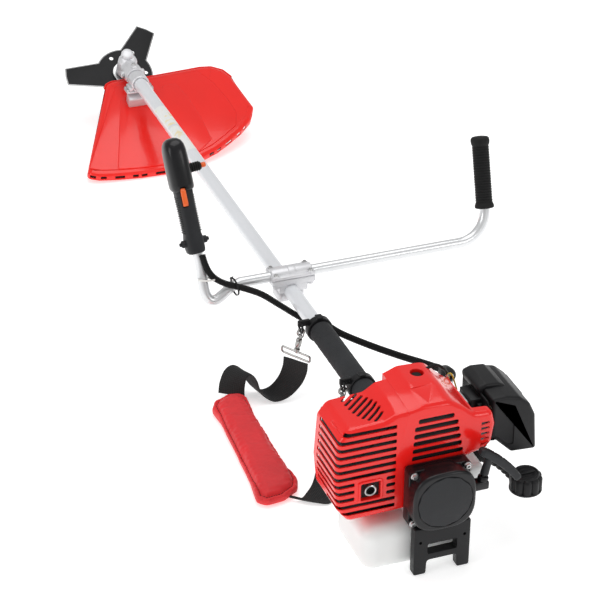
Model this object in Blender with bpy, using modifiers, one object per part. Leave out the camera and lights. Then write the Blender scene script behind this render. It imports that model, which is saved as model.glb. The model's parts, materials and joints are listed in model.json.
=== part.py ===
"""Petrol brush cutter with a loop handlebar, guard, three-tooth blade and shoulder strap.

Everything is laid out in millimetres in the machine's own frame: X to the right, Y forward
along the shaft with 0 at the back face of the recoil starter, Z up with 0 on the crank and
shaft axis. world() turns that into metres, with the origin on the floor under the middle.
"""
import math

import bmesh
import bpy
from mathutils import Matrix, Vector

MM = 0.001
GAP = 0.3                          # clearance between neighbours, mm

# driving dimensions, mm
AXIS_HEIGHT = 135.0                # crank axis above the floor
MIDDLE_X = 94.97                   # middle of the whole object in the machine frame
MIDDLE_Y = 896.79
SHAFT_RADIUS = 14.0
SHAFT_WALL = 1.6
SHAFT_START = 236.0
SHAFT_END = 1637.0
DRIVE_RADIUS = 4.0
SLEEVE_RADIUS = 20.0
SLEEVE_START = 266.0
SLEEVE_END = 532.0
BAR_RADIUS = 9.5
BAR_WALL = 1.5
BAR_Y = 693.0                      # handlebar clamp, forward of the starter face
BAR_Z = 26.0
BAR_LEAN = math.radians(20)        # the risers and grips lean forward of upright
BLADE_RADIUS = 127.5
BLADE_HUB = 61.0
BLADE_THICKNESS = 2.0
BLADE_BORE = 12.7
HEAD_ANGLE = math.radians(33)      # output axis, forward of straight down
HEAD_Y = 1675.0                    # where the output axis meets the shaft axis
BLADE_DROP = 35.0                  # blade centre along the output axis
GUARD_TILT = math.radians(21)
GUARD_TOP = (0.0, 1694.0, -12.0)   # guard plane at the blade
COVER_BACK = 48.0                  # back faces of the two red covers
COVER_WALL = 2.5
STAND_HALF_WIDTH = 47.0

ROUND = 24                         # sides on a round part
SMALL_ROUND = 12

PART_NAME = "brush_cutter"
UP = Vector((0, 0, 1))
FORWARD = Vector((0, 1, 0))
OUTPUT_AXIS = Vector((0, math.sin(HEAD_ANGLE), -math.cos(HEAD_ANGLE)))
HEAD_FORWARD = Vector((0, math.cos(HEAD_ANGLE), math.sin(HEAD_ANGLE)))
BAR_UP = Vector((0, math.sin(BAR_LEAN), math.cos(BAR_LEAN)))


# ------------------------------------------------------------------ helpers
def clear_scene():
    for item in list(bpy.data.objects):
        bpy.data.objects.remove(item, do_unlink=True)


def make_collection(name):
    collection = bpy.data.collections.new(name)
    bpy.context.scene.collection.children.link(collection)
    return collection


clear_scene()
PARTS = make_collection(PART_NAME)
CUTTERS = make_collection("cutters")


def world(x, y, z):
    """A point of the machine frame (mm) as a world point (m)."""
    return Vector((x - MIDDLE_X, y - MIDDLE_Y, z + AXIS_HEIGHT)) * MM


def material(name, colour, roughness, metallic=0.0):
    made = bpy.data.materials.new(name)
    made.use_nodes = True
    shader = made.node_tree.nodes["Principled BSDF"]
    shader.inputs["Base Color"].default_value = (*colour, 1.0)
    shader.inputs["Roughness"].default_value = roughness
    shader.inputs["Metallic"].default_value = metallic
    return made


RED = ("red plastic", (0.72, 0.02, 0.02), 0.3)
BLACK = ("black plastic", (0.012, 0.012, 0.012), 0.4)
RUBBER = ("black rubber", (0.015, 0.015, 0.015), 0.8)
SILVER = ("cast aluminium", (0.62, 0.62, 0.62), 0.45, 0.9)
TUBE = ("silver tube", (0.8, 0.8, 0.8), 0.25, 0.9)
STEEL = ("steel", (0.5, 0.5, 0.5), 0.3, 1.0)
CHROME = ("chrome", (0.8, 0.8, 0.78), 0.12, 1.0)
BLACK_STEEL = ("black blade steel", (0.02, 0.02, 0.02), 0.45, 0.6)
ORANGE = ("orange plastic", (0.85, 0.13, 0.02), 0.35)
WHITE = ("natural tank plastic", (0.85, 0.85, 0.85), 0.4)
WEBBING = ("black webbing", (0.012, 0.012, 0.012), 0.9)
PAD_RED = ("red quilted cloth", (0.6, 0.02, 0.03), 0.8)
PAPER = ("filter felt", (0.6, 0.55, 0.4), 0.9)


def place(obj, origin, axis=None, collection=None):
    """Put an object's origin at a machine-frame point, its local Z along axis."""
    obj.location = world(*origin)
    if axis is not None:
        obj.rotation_mode = "QUATERNION"
        obj.rotation_quaternion = UP.rotation_difference(Vector(axis).normalized())
    (collection or PARTS).objects.link(obj)
    if collection is CUTTERS:
        obj.hide_render = True
        obj.display_type = "WIRE"
    return obj


def finish_mesh(name, bm, finish, smooth=True):
    mesh = bpy.data.meshes.new(name)
    bm.to_mesh(mesh)
    bm.free()
    if smooth:
        mesh.shade_smooth()
        mesh.set_sharp_from_angle(angle=math.radians(35))
    if finish:
        mesh.materials.append(material(name, *finish[1:]))
    return bpy.data.objects.new(name, mesh)


def add_bevel(obj, width, segments=1):
    bevel = obj.modifiers.new("Bevel", "BEVEL")
    bevel.width = width * MM
    bevel.segments = segments
    bevel.limit_method = "ANGLE"
    bevel.angle_limit = math.radians(40)


def box(name, x, y, z, finish=None, bevel=0.0, segments=1, cutter=False, lean=None):
    """A box between limits in the machine frame, mm; lean turns it about X at its middle."""
    middle = ((x[0] + x[1]) / 2, (y[0] + y[1]) / 2, (z[0] + z[1]) / 2)
    bm = bmesh.new()
    bmesh.ops.create_cube(bm, size=1.0)
    bmesh.ops.scale(bm, vec=Vector((x[1] - x[0], y[1] - y[0], z[1] - z[0])) * MM, verts=bm.verts)
    obj = finish_mesh(name, bm, finish)
    place(obj, middle, collection=CUTTERS if cutter else None)
    if lean:
        obj.rotation_euler = (lean, 0, 0)
    if bevel:
        add_bevel(obj, bevel, segments)
    return obj


def cylinder(name, centre, axis, radius, length, finish=None, sides=ROUND, top=None,
             cutter=False, bevel=0.0):
    """A cylinder, or a cone frustum when top is given, about its centre."""
    bm = bmesh.new()
    bmesh.ops.create_cone(bm, cap_ends=True, segments=sides, radius1=radius * MM,
                          radius2=(radius if top is None else top) * MM, depth=length * MM)
    obj = finish_mesh(name, bm, finish)
    place(obj, centre, axis, CUTTERS if cutter else None)
    if bevel:
        add_bevel(obj, bevel)
    return obj


def turned(name, profile, origin, axis, finish=None, closed=False, sides=ROUND, cutter=False):
    """A turned part: (radius, height) points run down the outer side, about local Z."""
    bm = bmesh.new()
    points = [bm.verts.new((r * MM, 0, h * MM)) for r, h in profile]
    for a, b in zip(points, points[1:]):
        bm.edges.new((a, b))
    if closed:
        bm.edges.new((points[-1], points[0]))
    obj = finish_mesh(name, bm, finish, smooth=False)
    screw = obj.modifiers.new("Screw", "SCREW")
    screw.steps = screw.render_steps = sides
    screw.use_merge_vertices = True
    screw.merge_threshold = 0.00005
    screw.use_smooth_shade = True
    return place(obj, origin, axis, CUTTERS if cutter else None)


def ring(name, inner, outer, start, end, origin, axis, finish=None, sides=ROUND, cutter=False):
    """A plain tube between two heights along axis."""
    profile = [(outer, end), (outer, start), (inner, start), (inner, end)]
    return turned(name, profile, origin, axis, finish, closed=True, sides=sides, cutter=cutter)


def curve_to_mesh_object(curve_obj, name, finish, collection=None):
    """Turn a curve object into a welded mesh object in the same place."""
    bpy.context.view_layer.update()
    evaluated = curve_obj.evaluated_get(bpy.context.evaluated_depsgraph_get())
    mesh = bpy.data.meshes.new_from_object(evaluated)
    matrix = curve_obj.matrix_world.copy()
    bpy.data.objects.remove(curve_obj, do_unlink=True)
    bm = bmesh.new()
    bm.from_mesh(mesh)
    bmesh.ops.remove_doubles(bm, verts=bm.verts, dist=0.00002)
    bm.to_mesh(mesh)
    bm.free()
    mesh.name = name
    mesh.materials.clear()
    if finish:
        mesh.materials.append(material(name, *finish[1:]))
    obj = bpy.data.objects.new(name, mesh)
    obj.matrix_world = matrix
    (collection or PARTS).objects.link(obj)
    if collection is CUTTERS:
        obj.hide_render = True
        obj.display_type = "WIRE"
    return obj


def outline_plate(name, loops, thickness, origin, across, along, finish=None, cutter=False):
    """A flat outline (first loop) with holes, mid-plane through origin, axes across and along."""
    data = bpy.data.curves.new(name, "CURVE")
    data.dimensions = "2D"
    data.fill_mode = "BOTH"
    data.extrude = thickness / 2 * MM
    for loop in loops:
        spline = data.splines.new("POLY")
        spline.points.add(len(loop) - 1)
        for point, (a, b) in zip(spline.points, loop):
            point.co = (a * MM, b * MM, 0, 1)
        spline.use_cyclic_u = True
    obj = bpy.data.objects.new(name + "_outline", data)
    PARTS.objects.link(obj)
    across = Vector(across).normalized()
    along = Vector(along).normalized()
    turn = Matrix((across, along, across.cross(along))).transposed().to_4x4()
    obj.matrix_world = Matrix.Translation(world(*origin)) @ turn
    return curve_to_mesh_object(obj, name, finish, CUTTERS if cutter else None)


def smooth_path(points, step):
    """Points every step mm or so along a smooth curve through the given points."""
    path = [Vector(p) for p in points]
    ends = [path[0] * 2 - path[1]] + path + [path[-1] * 2 - path[-2]]
    out = []
    for before, a, b, after in zip(ends, ends[1:], ends[2:], ends[3:]):
        count = max(1, round((b - a).length / step))
        for k in range(count):
            t = k / count
            out.append(0.5 * (2 * a + (b - before) * t
                              + (2 * before - 5 * a + 4 * b - after) * t * t
                              + (3 * a - before - 3 * b + after) * t * t * t))
    return out + [path[-1]]


def bar_curve(name, points, radius, finish, caps=True, resolution=2, closed=False, cutter=False):
    """A round bar along a polyline of machine-frame points."""
    data = bpy.data.curves.new(name, "CURVE")
    data.dimensions = "3D"
    data.bevel_depth = radius * MM
    data.bevel_resolution = resolution
    data.use_fill_caps = caps
    spline = data.splines.new("POLY")
    spline.points.add(len(points) - 1)
    for point, co in zip(spline.points, points):
        point.co = (*world(*co), 1)
    spline.use_cyclic_u = closed
    obj = bpy.data.objects.new(name + "_path", data)
    PARTS.objects.link(obj)
    return curve_to_mesh_object(obj, name, finish, CUTTERS if cutter else None)


def boolean(target, other, operation):
    modifier = target.modifiers.new(operation.title(), "BOOLEAN")
    modifier.operation = operation
    modifier.solver = "EXACT"
    modifier.object = other
    return target


def cut(target, *cutters):
    for other in cutters:
        boolean(target, other, "DIFFERENCE")
    return target


def join(target, *others):
    for other in others:
        boolean(target, other, "UNION")
    return target


def slot_row(name, x, y, z_list, height):
    """One cutter made of parallel slots, a box for each middle height."""
    bm = bmesh.new()
    for z in z_list:
        size = Vector((x[1] - x[0], y[1] - y[0], height)) * MM
        centre = Vector(((x[0] + x[1]) / 2, (y[0] + y[1]) / 2, z)) * MM
        matrix = Matrix.Translation(centre) @ Matrix.Diagonal((*size, 1.0))
        bmesh.ops.create_cube(bm, size=1.0, matrix=matrix)
    obj = finish_mesh(name, bm, None)
    return place(obj, (0, 0, 0), collection=CUTTERS)


def on_axis(origin, axis, distance):
    return tuple(Vector(origin) + Vector(axis).normalized() * distance)


def bar_point(x, rise):
    """A point of the handlebar's plane: x to the right, rise along the leaning upright."""
    return (x, BAR_Y + BAR_UP.y * rise, BAR_Z + BAR_UP.z * rise)


# ------------------------------------------------------------------ shaft and sleeve
FRONT_HANGER_Y = 541.0
REAR_HANGER_Y = 346.0
LUG_X = 33.0                       # eye of the hanger's lug, left of the shaft
RING_Z = 8.0                       # middle of the hanger's ring
RING_RADIUS = 8.5


def make_shaft():
    ring("shaft_tube", SHAFT_RADIUS - SHAFT_WALL, SHAFT_RADIUS, SHAFT_START, SHAFT_END,
         (0, 0, 0), FORWARD, TUBE, sides=32)
    length = SHAFT_END - SHAFT_START + 2
    cylinder("drive_shaft", (0, (SHAFT_END + SHAFT_START - 2) / 2, 0), FORWARD, DRIVE_RADIUS,
             length, STEEL, sides=SMALL_ROUND)
    ring("foam_sleeve", SHAFT_RADIUS + GAP, SLEEVE_RADIUS, SLEEVE_START, SLEEVE_END,
         (0, 0, 0), FORWARD, RUBBER, sides=ROUND)


def make_hanger(name, y, finish, inner, outer):
    """A clamp band round the shaft with a lug on its left, and the steel loop it carries."""
    width = 14.0
    band = ring(name, inner, outer, y - width / 2, y + width / 2, (0, 0, 0), FORWARD, finish)
    lug = box(name + "_lug", (-LUG_X - 6, -LUG_X + 14), (y - 2.5, y + 2.5), (9, 23), cutter=True)
    hole = cylinder(name + "_eye", (-LUG_X, y, RING_Z + RING_RADIUS), FORWARD, 3.4, width * 2,
                    cutter=True, sides=SMALL_ROUND)
    join(band, lug)
    cut(band, hole)
    centre = Vector((-LUG_X, y, RING_Z))
    turns = 16
    loop = [centre + Vector((0, math.sin(a), math.cos(a))) * RING_RADIUS
            for a in (2 * math.pi * k / turns for k in range(turns))]
    bar_curve(name + "_ring", [tuple(p) for p in loop], 2.0, CHROME, closed=True, resolution=1)
    return band


# ------------------------------------------------------------------ handlebar
LEFT_RISER = (-158.0, 50.0)
LEFT_TOP = (-170.0, 108.0)
BEND_RADIUS = 56.0                 # of the right-hand bend, at the tube's middle
RIGHT_RISER = (385.0, BEND_RADIUS)
RIGHT_TOP = (389.0, 180.0)
CLAMP_LEFT = -36.0
CLAMP_RIGHT = 44.0


def handlebar_path():
    """Through the clamp, with a swept bend up on the right and a tight dipped one on the left."""
    left = [LEFT_TOP, LEFT_RISER, (-157.0, 14.0), (-155.0, -8.0), (-149.0, -20.0), (-138.0, -23.0),
            (-124.0, -16.0), (-108.0, -6.0), (-90.0, 0.0)]
    centre = (RIGHT_RISER[0] - BEND_RADIUS, BEND_RADIUS)
    steps = 7
    right = [(centre[0] + BEND_RADIUS * math.sin(a), centre[1] - BEND_RADIUS * math.cos(a))
             for a in (math.pi / 2 * k / steps for k in range(steps))]
    return left + right + [RIGHT_RISER, RIGHT_TOP]


def make_handlebar():
    """The bent tube, and the split clamp that holds it on top of the shaft."""
    points = [bar_point(x, rise) for x, rise in handlebar_path()]
    bar = bar_curve("handlebar", points, BAR_RADIUS, TUBE, caps=False, resolution=3)
    wall = bar.modifiers.new("Solidify", "SOLIDIFY")
    wall.thickness = BAR_WALL * MM
    wall.offset = -1.0
    middle = (CLAMP_LEFT + CLAMP_RIGHT) / 2
    block = box("handlebar_clamp_block", (-26, 34), (BAR_Y - 20, BAR_Y + 20), (-22, BAR_Z - GAP),
                SILVER, bevel=3)
    shoulder = box("clamp_shoulder", (CLAMP_LEFT, CLAMP_RIGHT), (BAR_Y - 21, BAR_Y + 21),
                   (BAR_Z - 13, BAR_Z - GAP), cutter=True, bevel=2)
    join(block, shoulder)
    tube = cylinder("clamp_shaft_bore", (0, BAR_Y, 0), FORWARD, SHAFT_RADIUS + GAP, 60, cutter=True,
                    sides=32)
    bore = cylinder("clamp_bar_bore", (middle, BAR_Y, BAR_Z), (1, 0, 0), BAR_RADIUS + GAP, 120,
                    cutter=True)
    cut(block, tube, bore)
    cap = box("handlebar_clamp_cap", (CLAMP_LEFT, CLAMP_RIGHT), (BAR_Y - 21, BAR_Y + 21),
              (BAR_Z + GAP, BAR_Z + 7), SILVER, bevel=1.5)
    crown = cylinder("clamp_crown", (middle, BAR_Y, BAR_Z), (1, 0, 0), 14.0,
                     CLAMP_RIGHT - CLAMP_LEFT - 6, cutter=True)
    join(cap, crown)
    below = box("clamp_below", (-60, 70), (BAR_Y - 40, BAR_Y + 40), (BAR_Z - 40, BAR_Z + GAP),
                cutter=True)
    cut(cap, below, bore)


def make_plain_grip():
    """A ribbed rubber sleeve with flared ends, closed over the top of the right riser."""
    base = Vector(bar_point(*RIGHT_RISER))
    axis = Vector(bar_point(*RIGHT_TOP)) - base
    reach = axis.length
    bore = BAR_RADIUS + GAP
    profile = [(0.0, reach + 6), (12.0, reach + 6), (16.5, reach + 3), (16.5, reach - 8),
               (14.5, reach - 12), (14.5, 12), (17.5, 5), (17.5, 0), (bore, 0),
               (bore, reach + 1), (0.0, reach + 1)]
    turned("plain_grip", profile, tuple(base), axis, RUBBER)


GRIP_AXIS = Vector((-0.09, 0.34, 0.936)).normalized()
GRIP_SIDE = Vector((1, 0, 0)) - GRIP_AXIS * GRIP_AXIS.x
GRIP_SIDE.normalize()
GRIP_FRONT = GRIP_AXIS.cross(GRIP_SIDE)
GRIP_BASE = Vector(bar_point(-162.5, 66.0))


def grip_point(side, front, up):
    """A point in the throttle grip's frame: to its right, towards the head, up the grip."""
    return GRIP_BASE + GRIP_SIDE * side + GRIP_FRONT * front + GRIP_AXIS * up


def grip_box(name, side, front, up, finish=None, bevel=0.0, segments=1, cutter=False):
    """A box whose limits are given in the throttle grip's frame."""
    bm = bmesh.new()
    bmesh.ops.create_cube(bm, size=1.0)
    bmesh.ops.scale(bm, vec=Vector((side[1] - side[0], front[1] - front[0], up[1] - up[0])) * MM,
                    verts=bm.verts)
    obj = finish_mesh(name, bm, finish)
    middle = grip_point(sum(side) / 2, sum(front) / 2, sum(up) / 2)
    place(obj, tuple(middle), collection=CUTTERS if cutter else None)
    obj.rotation_mode = "QUATERNION"
    turn = Matrix((GRIP_SIDE, GRIP_FRONT, GRIP_AXIS)).transposed()
    obj.rotation_quaternion = turn.to_quaternion()
    if bevel:
        add_bevel(obj, bevel, segments)
    return obj


def make_throttle_grip():
    """The left grip: body and head in one, with its trigger, lock-out lever and stop switch."""
    body = grip_box("throttle_grip", (-17, 17), (-19, 17), (0, 150), BLACK, bevel=7, segments=2)
    head = grip_box("grip_head", (-20.5, 20.5), (-24, 26), (116, 204), bevel=11, segments=2,
                    cutter=True)
    switch_stub = cylinder("switch_stub", tuple(grip_point(28, 2, 146)), GRIP_SIDE, 7.5, 26,
                           cutter=True, sides=SMALL_ROUND)
    ears = cylinder("grip_ears", tuple(grip_point(0, -3, 20)), GRIP_SIDE, 6.5, 46, cutter=True,
                    sides=SMALL_ROUND)
    join(body, head, switch_stub, ears)
    riser = Vector(bar_point(*LEFT_TOP)) - Vector(bar_point(*LEFT_RISER))
    bore = cylinder("grip_bore", tuple(Vector(bar_point(*LEFT_RISER)) + riser * 0.5), riser,
                    BAR_RADIUS + 0.8, riser.length + 8, cutter=True)
    trigger_slot = grip_box("trigger_slot", (-6, 6), (-9.5, 60), (74, 140), cutter=True)
    lever_slot = grip_box("lever_slot", (-10, 0), (-60, -12.5), (84, 122), cutter=True)
    switch_bore = cylinder("switch_bore", tuple(grip_point(36, 2, 146)), GRIP_SIDE, 4.6, 20,
                           cutter=True, sides=SMALL_ROUND)
    cut(body, bore, trigger_slot, lever_slot, switch_bore)

    trigger = grip_box("throttle_trigger", (-4.6, 4.6), (2, 30), (82, 132), ORANGE, bevel=2)
    scoop = cylinder("trigger_scoop", tuple(grip_point(0, 37, 96)), GRIP_SIDE, 17, 20, cutter=True)
    cut(trigger, scoop)
    grip_box("lockout_lever", (-9.4, -0.6), (-24, -16.5), (86, 120), ORANGE, bevel=1.5)
    cylinder("stop_switch", tuple(grip_point(40, 2, 146)), GRIP_SIDE, 4.2, 20, ORANGE,
             sides=SMALL_ROUND, bevel=0.8)


# ------------------------------------------------------------------ throttle cable
CONDUIT_RADIUS = 6.0
CONDUIT_ROUTE = [(-156, 700, 89), (-153, 693, 73), (-148, 689, 60), (-138, 686, 47),
                 (-120, 678, 37), (-88, 669, 26), (-60, 661, 13), (-31, 646, -7), (0, 620, -24),
                 (24, 586, -19), (41, 540, -18), (70, 480, -13), (98, 420, -4), (116, 360, 13),
                 (121, 316, 29), (119, 284, 42)]
BOOT_END = (100, 222, 74)


def make_conduit():
    bar_curve("throttle_conduit", [tuple(p) for p in smooth_path(CONDUIT_ROUTE, 17.0)],
              CONDUIT_RADIUS, RUBBER, resolution=2)
    last = Vector(CONDUIT_ROUTE[-1])
    direction = (Vector(BOOT_END) - last).normalized()
    length = (Vector(BOOT_END) - last).length
    profile = [(0, length), (6, length), (10.5, length - 6), (10.5, 16), (8.5, 4), (8.5, 2),
               (0, 2)]
    turned("conduit_boot", profile, tuple(last), direction, RUBBER, sides=SMALL_ROUND + 4)


# ------------------------------------------------------------------ cutting head
def head_point(x, forward, down):
    """A point from where the output axis meets the shaft: along the blade plane and down it."""
    return tuple(Vector((x, HEAD_Y, 0)) + HEAD_FORWARD * forward + OUTPUT_AXIS * down)


def blade_outline():
    """Three broad teeth that narrow towards their tips, joined by arcs of the hub."""
    tooth_half = math.radians(9.4)
    root_half = math.radians(30)
    first = math.radians(174)
    points = []
    for tooth in range(3):
        middle = first - tooth * 2 * math.pi / 3
        for offset, radius in ((root_half, BLADE_HUB), (tooth_half, BLADE_RADIUS),
                               (0.0, BLADE_RADIUS), (-tooth_half, BLADE_RADIUS),
                               (-root_half, BLADE_HUB)):
            angle = middle + offset
            points.append((radius * math.cos(angle), radius * math.sin(angle)))
        for step in (1, 2, 3):
            angle = middle - root_half - math.radians(60) * step / 4
            points.append((BLADE_HUB * math.cos(angle), BLADE_HUB * math.sin(angle)))
    return points


def circle(radius, sides=ROUND):
    return [(radius * math.cos(a), radius * math.sin(a))
            for a in (2 * math.pi * k / sides for k in range(sides))]


def make_head():
    """The bevel gear case on the end of the shaft, with its pinion and output gear."""
    case = cylinder("gear_case", (0, HEAD_Y - 38, 0), FORWARD, 19.5, 44, SILVER)
    middle = cylinder("case_middle", (0, HEAD_Y - 6, 0), FORWARD, 20, 36, cutter=True, top=15)
    tower = cylinder("case_tower", head_point(0, 4, 0), OUTPUT_AXIS, 20, 44, cutter=True, bevel=2)
    knob = cylinder("case_knob", head_point(0, 14, -24), OUTPUT_AXIS, 12.5, 12, cutter=True,
                    sides=ROUND)
    lug = box("case_lugs", (-26, 26), (HEAD_Y - 42, HEAD_Y - 30), (-8, 8), cutter=True, bevel=2)
    join(case, middle, tower, knob, lug)
    gear_room = cylinder("gear_room", head_point(0, 4, 9), OUTPUT_AXIS, 16.5, 34, cutter=True)
    pinion_room = cylinder("pinion_room", (0, HEAD_Y - 30, 0), FORWARD, 9.5, 60, cutter=True)
    tube_room = cylinder("tube_room", (0, SHAFT_END - 30, 0), FORWARD, SHAFT_RADIUS + GAP, 62,
                         cutter=True, sides=32)
    cut(case, gear_room, pinion_room, tube_room)

    turned("input_pinion", [(0, 24), (3, 24), (6.5, 16), (6.5, 13), (4.5, 12), (4.5, 0), (0, 0)],
           (0, SHAFT_END + 1.5, 0), FORWARD, STEEL, sides=SMALL_ROUND)
    turned("output_gear", [(0, -2), (5, -2), (9, 3), (14, 8.5), (14, 11), (6, 11.5), (6, 27),
                           (5, 27.3), (5, 45), (0, 45)][::-1], head_point(0, 4, 0), OUTPUT_AXIS,
           STEEL, sides=SMALL_ROUND + 4)


def make_blade():
    """Blade and its clamping parts on the output axis, 4 mm forward of the axes' meeting."""
    axis_foot = head_point(0, 4, 0)
    flange_top = 28.0
    blade_top = BLADE_DROP - BLADE_THICKNESS / 2
    ring("blade_adapter", 6 + GAP, 26, flange_top, blade_top - GAP, axis_foot, OUTPUT_AXIS, STEEL)
    outlines = [blade_outline(), circle(BLADE_BORE)[::-1]]
    outline_plate("blade", outlines, BLADE_THICKNESS, on_axis(axis_foot, OUTPUT_AXIS, BLADE_DROP),
                  (1, 0, 0), HEAD_FORWARD, BLACK_STEEL)
    blade_under = BLADE_DROP + BLADE_THICKNESS / 2
    cup = [(6 + GAP, blade_under + GAP), (25, blade_under + GAP), (25, blade_under + 2.5),
           (14, blade_under + 5.5), (6 + GAP, blade_under + 5.5)]
    turned("blade_cup", cup[::-1], axis_foot, OUTPUT_AXIS, STEEL, closed=True)
    ring("blade_nut", 6.3, 10.5, blade_under + 5.5 + GAP, blade_under + 13, axis_foot,
         OUTPUT_AXIS, STEEL, sides=6)


# ------------------------------------------------------------------ guard
GUARD_FRONT = [(-58, 48), (-52, 36), (-38, 30), (44, 32), (159, 27), (183, 30), (205, 44), (217, 66),
               (229, 126), (237, 164)]
GUARD_REAR = [(218, 199), (190, 224), (157, 246), (123, 266), (87, 280), (45, 294), (3, 300),
              (-50, 299), (-100, 294), (-137, 288), (-162, 277)]
GUARD_PLATE = 3.0
GUARD_RIM = 16.0
GUARD_BACK = Vector((0, -math.cos(GUARD_TILT), -math.sin(GUARD_TILT)))
GUARD_DOWN = Vector((1, 0, 0)).cross(GUARD_BACK)
BRACKET_Y = 1594.0


def guard_point(across, back, down):
    """A point on the guard: to the right, behind the blade, and below the plate's middle."""
    return tuple(Vector(GUARD_TOP) + Vector((across, 0, 0)) + GUARD_BACK * back + GUARD_DOWN * down)


def guard_box(name, across, back, down, finish=None, turn=0.0):
    """A cutter box in the guard's frame, turned about the guard's own normal."""
    bm = bmesh.new()
    bmesh.ops.create_cube(bm, size=1.0)
    size = Vector((across[1] - across[0], back[1] - back[0], down[1] - down[0]))
    bmesh.ops.scale(bm, vec=size * MM, verts=bm.verts)
    obj = finish_mesh(name, bm, finish)
    place(obj, guard_point(sum(across) / 2, sum(back) / 2, sum(down) / 2), collection=CUTTERS)
    frame = Matrix((Vector((1, 0, 0)), GUARD_BACK, GUARD_DOWN)).transposed()
    obj.rotation_mode = "QUATERNION"
    obj.rotation_quaternion = (frame @ Matrix.Rotation(turn, 3, "Z")).to_quaternion()
    return obj


def make_guard():
    """The red guard plate with its turned-down rim, and the bracket that clamps it to the shaft."""
    outline = GUARD_FRONT + GUARD_REAR
    across = Vector((1, 0, 0))
    guard = outline_plate("guard", [outline], GUARD_PLATE, GUARD_TOP, across, GUARD_BACK, RED)
    inner = [(x * 0.985, s - 3.5) for x, s in GUARD_REAR]
    rim = outline_plate("guard_rim", [GUARD_REAR + inner[::-1]], GUARD_RIM + 1,
                        guard_point(0, 0, GUARD_RIM / 2), across, GUARD_BACK, cutter=True)
    join(guard, rim)
    for number, (x, s) in enumerate(((-84, 292), (-30, 297), (34, 293), (104, 272), (172, 236))):
        window = guard_box(f"guard_window_{number}", (x - 11, x + 11), (s - 14, s + 14), (5, 11),
                           turn=-math.atan2(x, s))
        cut(guard, window)

    bracket = cylinder("guard_bracket", (0, BRACKET_Y, 0), FORWARD, 19, 30, SILVER)
    ears = box("bracket_ears", (-29, 29), (BRACKET_Y - 13, BRACKET_Y + 13), (-20, -11), cutter=True)
    reach = (GUARD_TOP[1] - BRACKET_Y) / math.cos(GUARD_TILT)
    plate_top = -GUARD_PLATE / 2 - GAP
    foot = guard_box("bracket_foot", (-26, 26), (reach - 11, reach + 11), (plate_top - 34, plate_top))
    bore = cylinder("bracket_bore", (0, BRACKET_Y, 0), FORWARD, SHAFT_RADIUS + GAP, 90, cutter=True)
    join(bracket, ears, foot)
    cut(bracket, bore)


# ------------------------------------------------------------------ engine
CYLINDER_Y = 129.5


def make_crank_train():
    """Crankshaft, flywheel, clutch shoes and drum, starter pulley and piston."""
    turned("crankshaft", [(0, 190), (5, 190), (5, 152), (8, 151), (8, 142), (26, 141), (26, 118),
                          (8, 117), (8, 104), (5, 103), (5, 62), (0, 62)],
           (0, 0, 0), FORWARD, STEEL, sides=SMALL_ROUND)
    ring("flywheel", 5 + GAP, 41, 70, 98, (0, 0, 0), FORWARD, SILVER)
    ring("clutch_shoes", 5 + GAP, 34, 172, 188, (0, 0, 0), FORWARD, STEEL)
    turned("clutch_drum", [(0, 233), (6, 233), (6, 200), (39, 199), (39, 168.5), (36.5, 168.5),
                           (36.5, 195), (0, 195)], (0, 0, 0), FORWARD, STEEL)
    turned("starter_pulley", [(0, 57), (9, 57), (9, 46), (32, 45), (32, 41), (24, 38), (24, 35),
                              (32, 32), (32, 28), (0, 28)], (0, 0, 0), FORWARD, BLACK)
    cylinder("piston", (0, CYLINDER_Y, 72), UP, 19.5, 34, SILVER, bevel=1)


def make_crankcase():
    """The crankcase, clutch housing and finned cylinder with its plug."""
    case = box("crankcase", (-45, 45), (46.6, 166), (-50, 39.5), SILVER, bevel=5)
    fan_room = cylinder("fan_room", (0, 70, 0), FORWARD, 43, 62, cutter=True)
    chamber = cylinder("crank_chamber", (0, CYLINDER_Y, 0), FORWARD, 29, 26, cutter=True)
    shaft_bore = cylinder("crank_bore", (0, 134, 0), FORWARD, 9, 90, cutter=True,
                          sides=SMALL_ROUND)
    barrel_bore = cylinder("case_barrel_bore", (0, CYLINDER_Y, 40), UP, 20.2, 60, cutter=True)
    cut(case, fan_room, chamber, shaft_bore, barrel_bore)
    turned("clutch_housing", [(56, 206), (56, 166 + GAP), (42, 166 + GAP), (42, 206), (17, 222),
                              (14.3, 238), (14.3, 262), (24, 262), (27, 224)],
           (0, 0, 0), FORWARD, BLACK, closed=True)
    barrel = cylinder("cylinder", (0, CYLINDER_Y, 81.8), UP, 25.5, 84, SILVER)
    inlet = box("cylinder_inlet", (20, 46), (118, 141), (66, 92), cutter=True)
    outlet = box("cylinder_outlet", (-52, -20), (114, 145), (66, 94), cutter=True)
    join(barrel, inlet, outlet, *square_fins("cylinder_fins", 36, [60 + 12 * k for k in range(6)], 3))
    bore = cylinder("cylinder_bore", (0, CYLINDER_Y, 71), UP, 20, 76, cutter=True)
    plug_bore = cylinder("plug_bore", (0, CYLINDER_Y, 120), UP, 5.2, 40, cutter=True,
                         sides=SMALL_ROUND)
    cut(barrel, bore, plug_bore)
    turned("spark_plug", [(0, 142), (3, 142), (4, 136), (9, 135), (9, 124.2), (4.9, 124.2),
                          (4.9, 112), (0, 112)],
           (0, CYLINDER_Y, 0), UP, STEEL, sides=SMALL_ROUND)
    turned("plug_cap", [(0, 154), (7, 154), (9, 151), (9, 137), (4.6, 137), (4.6, 144), (0, 144)],
           (0, CYLINDER_Y, 0), UP, RUBBER, sides=SMALL_ROUND)


def square_fins(name, half, heights, thickness):
    """Square cooling fins, one flat box for each height."""
    return [box(f"{name}_{number}", (-half, half), (CYLINDER_Y - half, CYLINDER_Y + half),
                (z, z + thickness), cutter=True) for number, z in enumerate(heights)]


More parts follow.
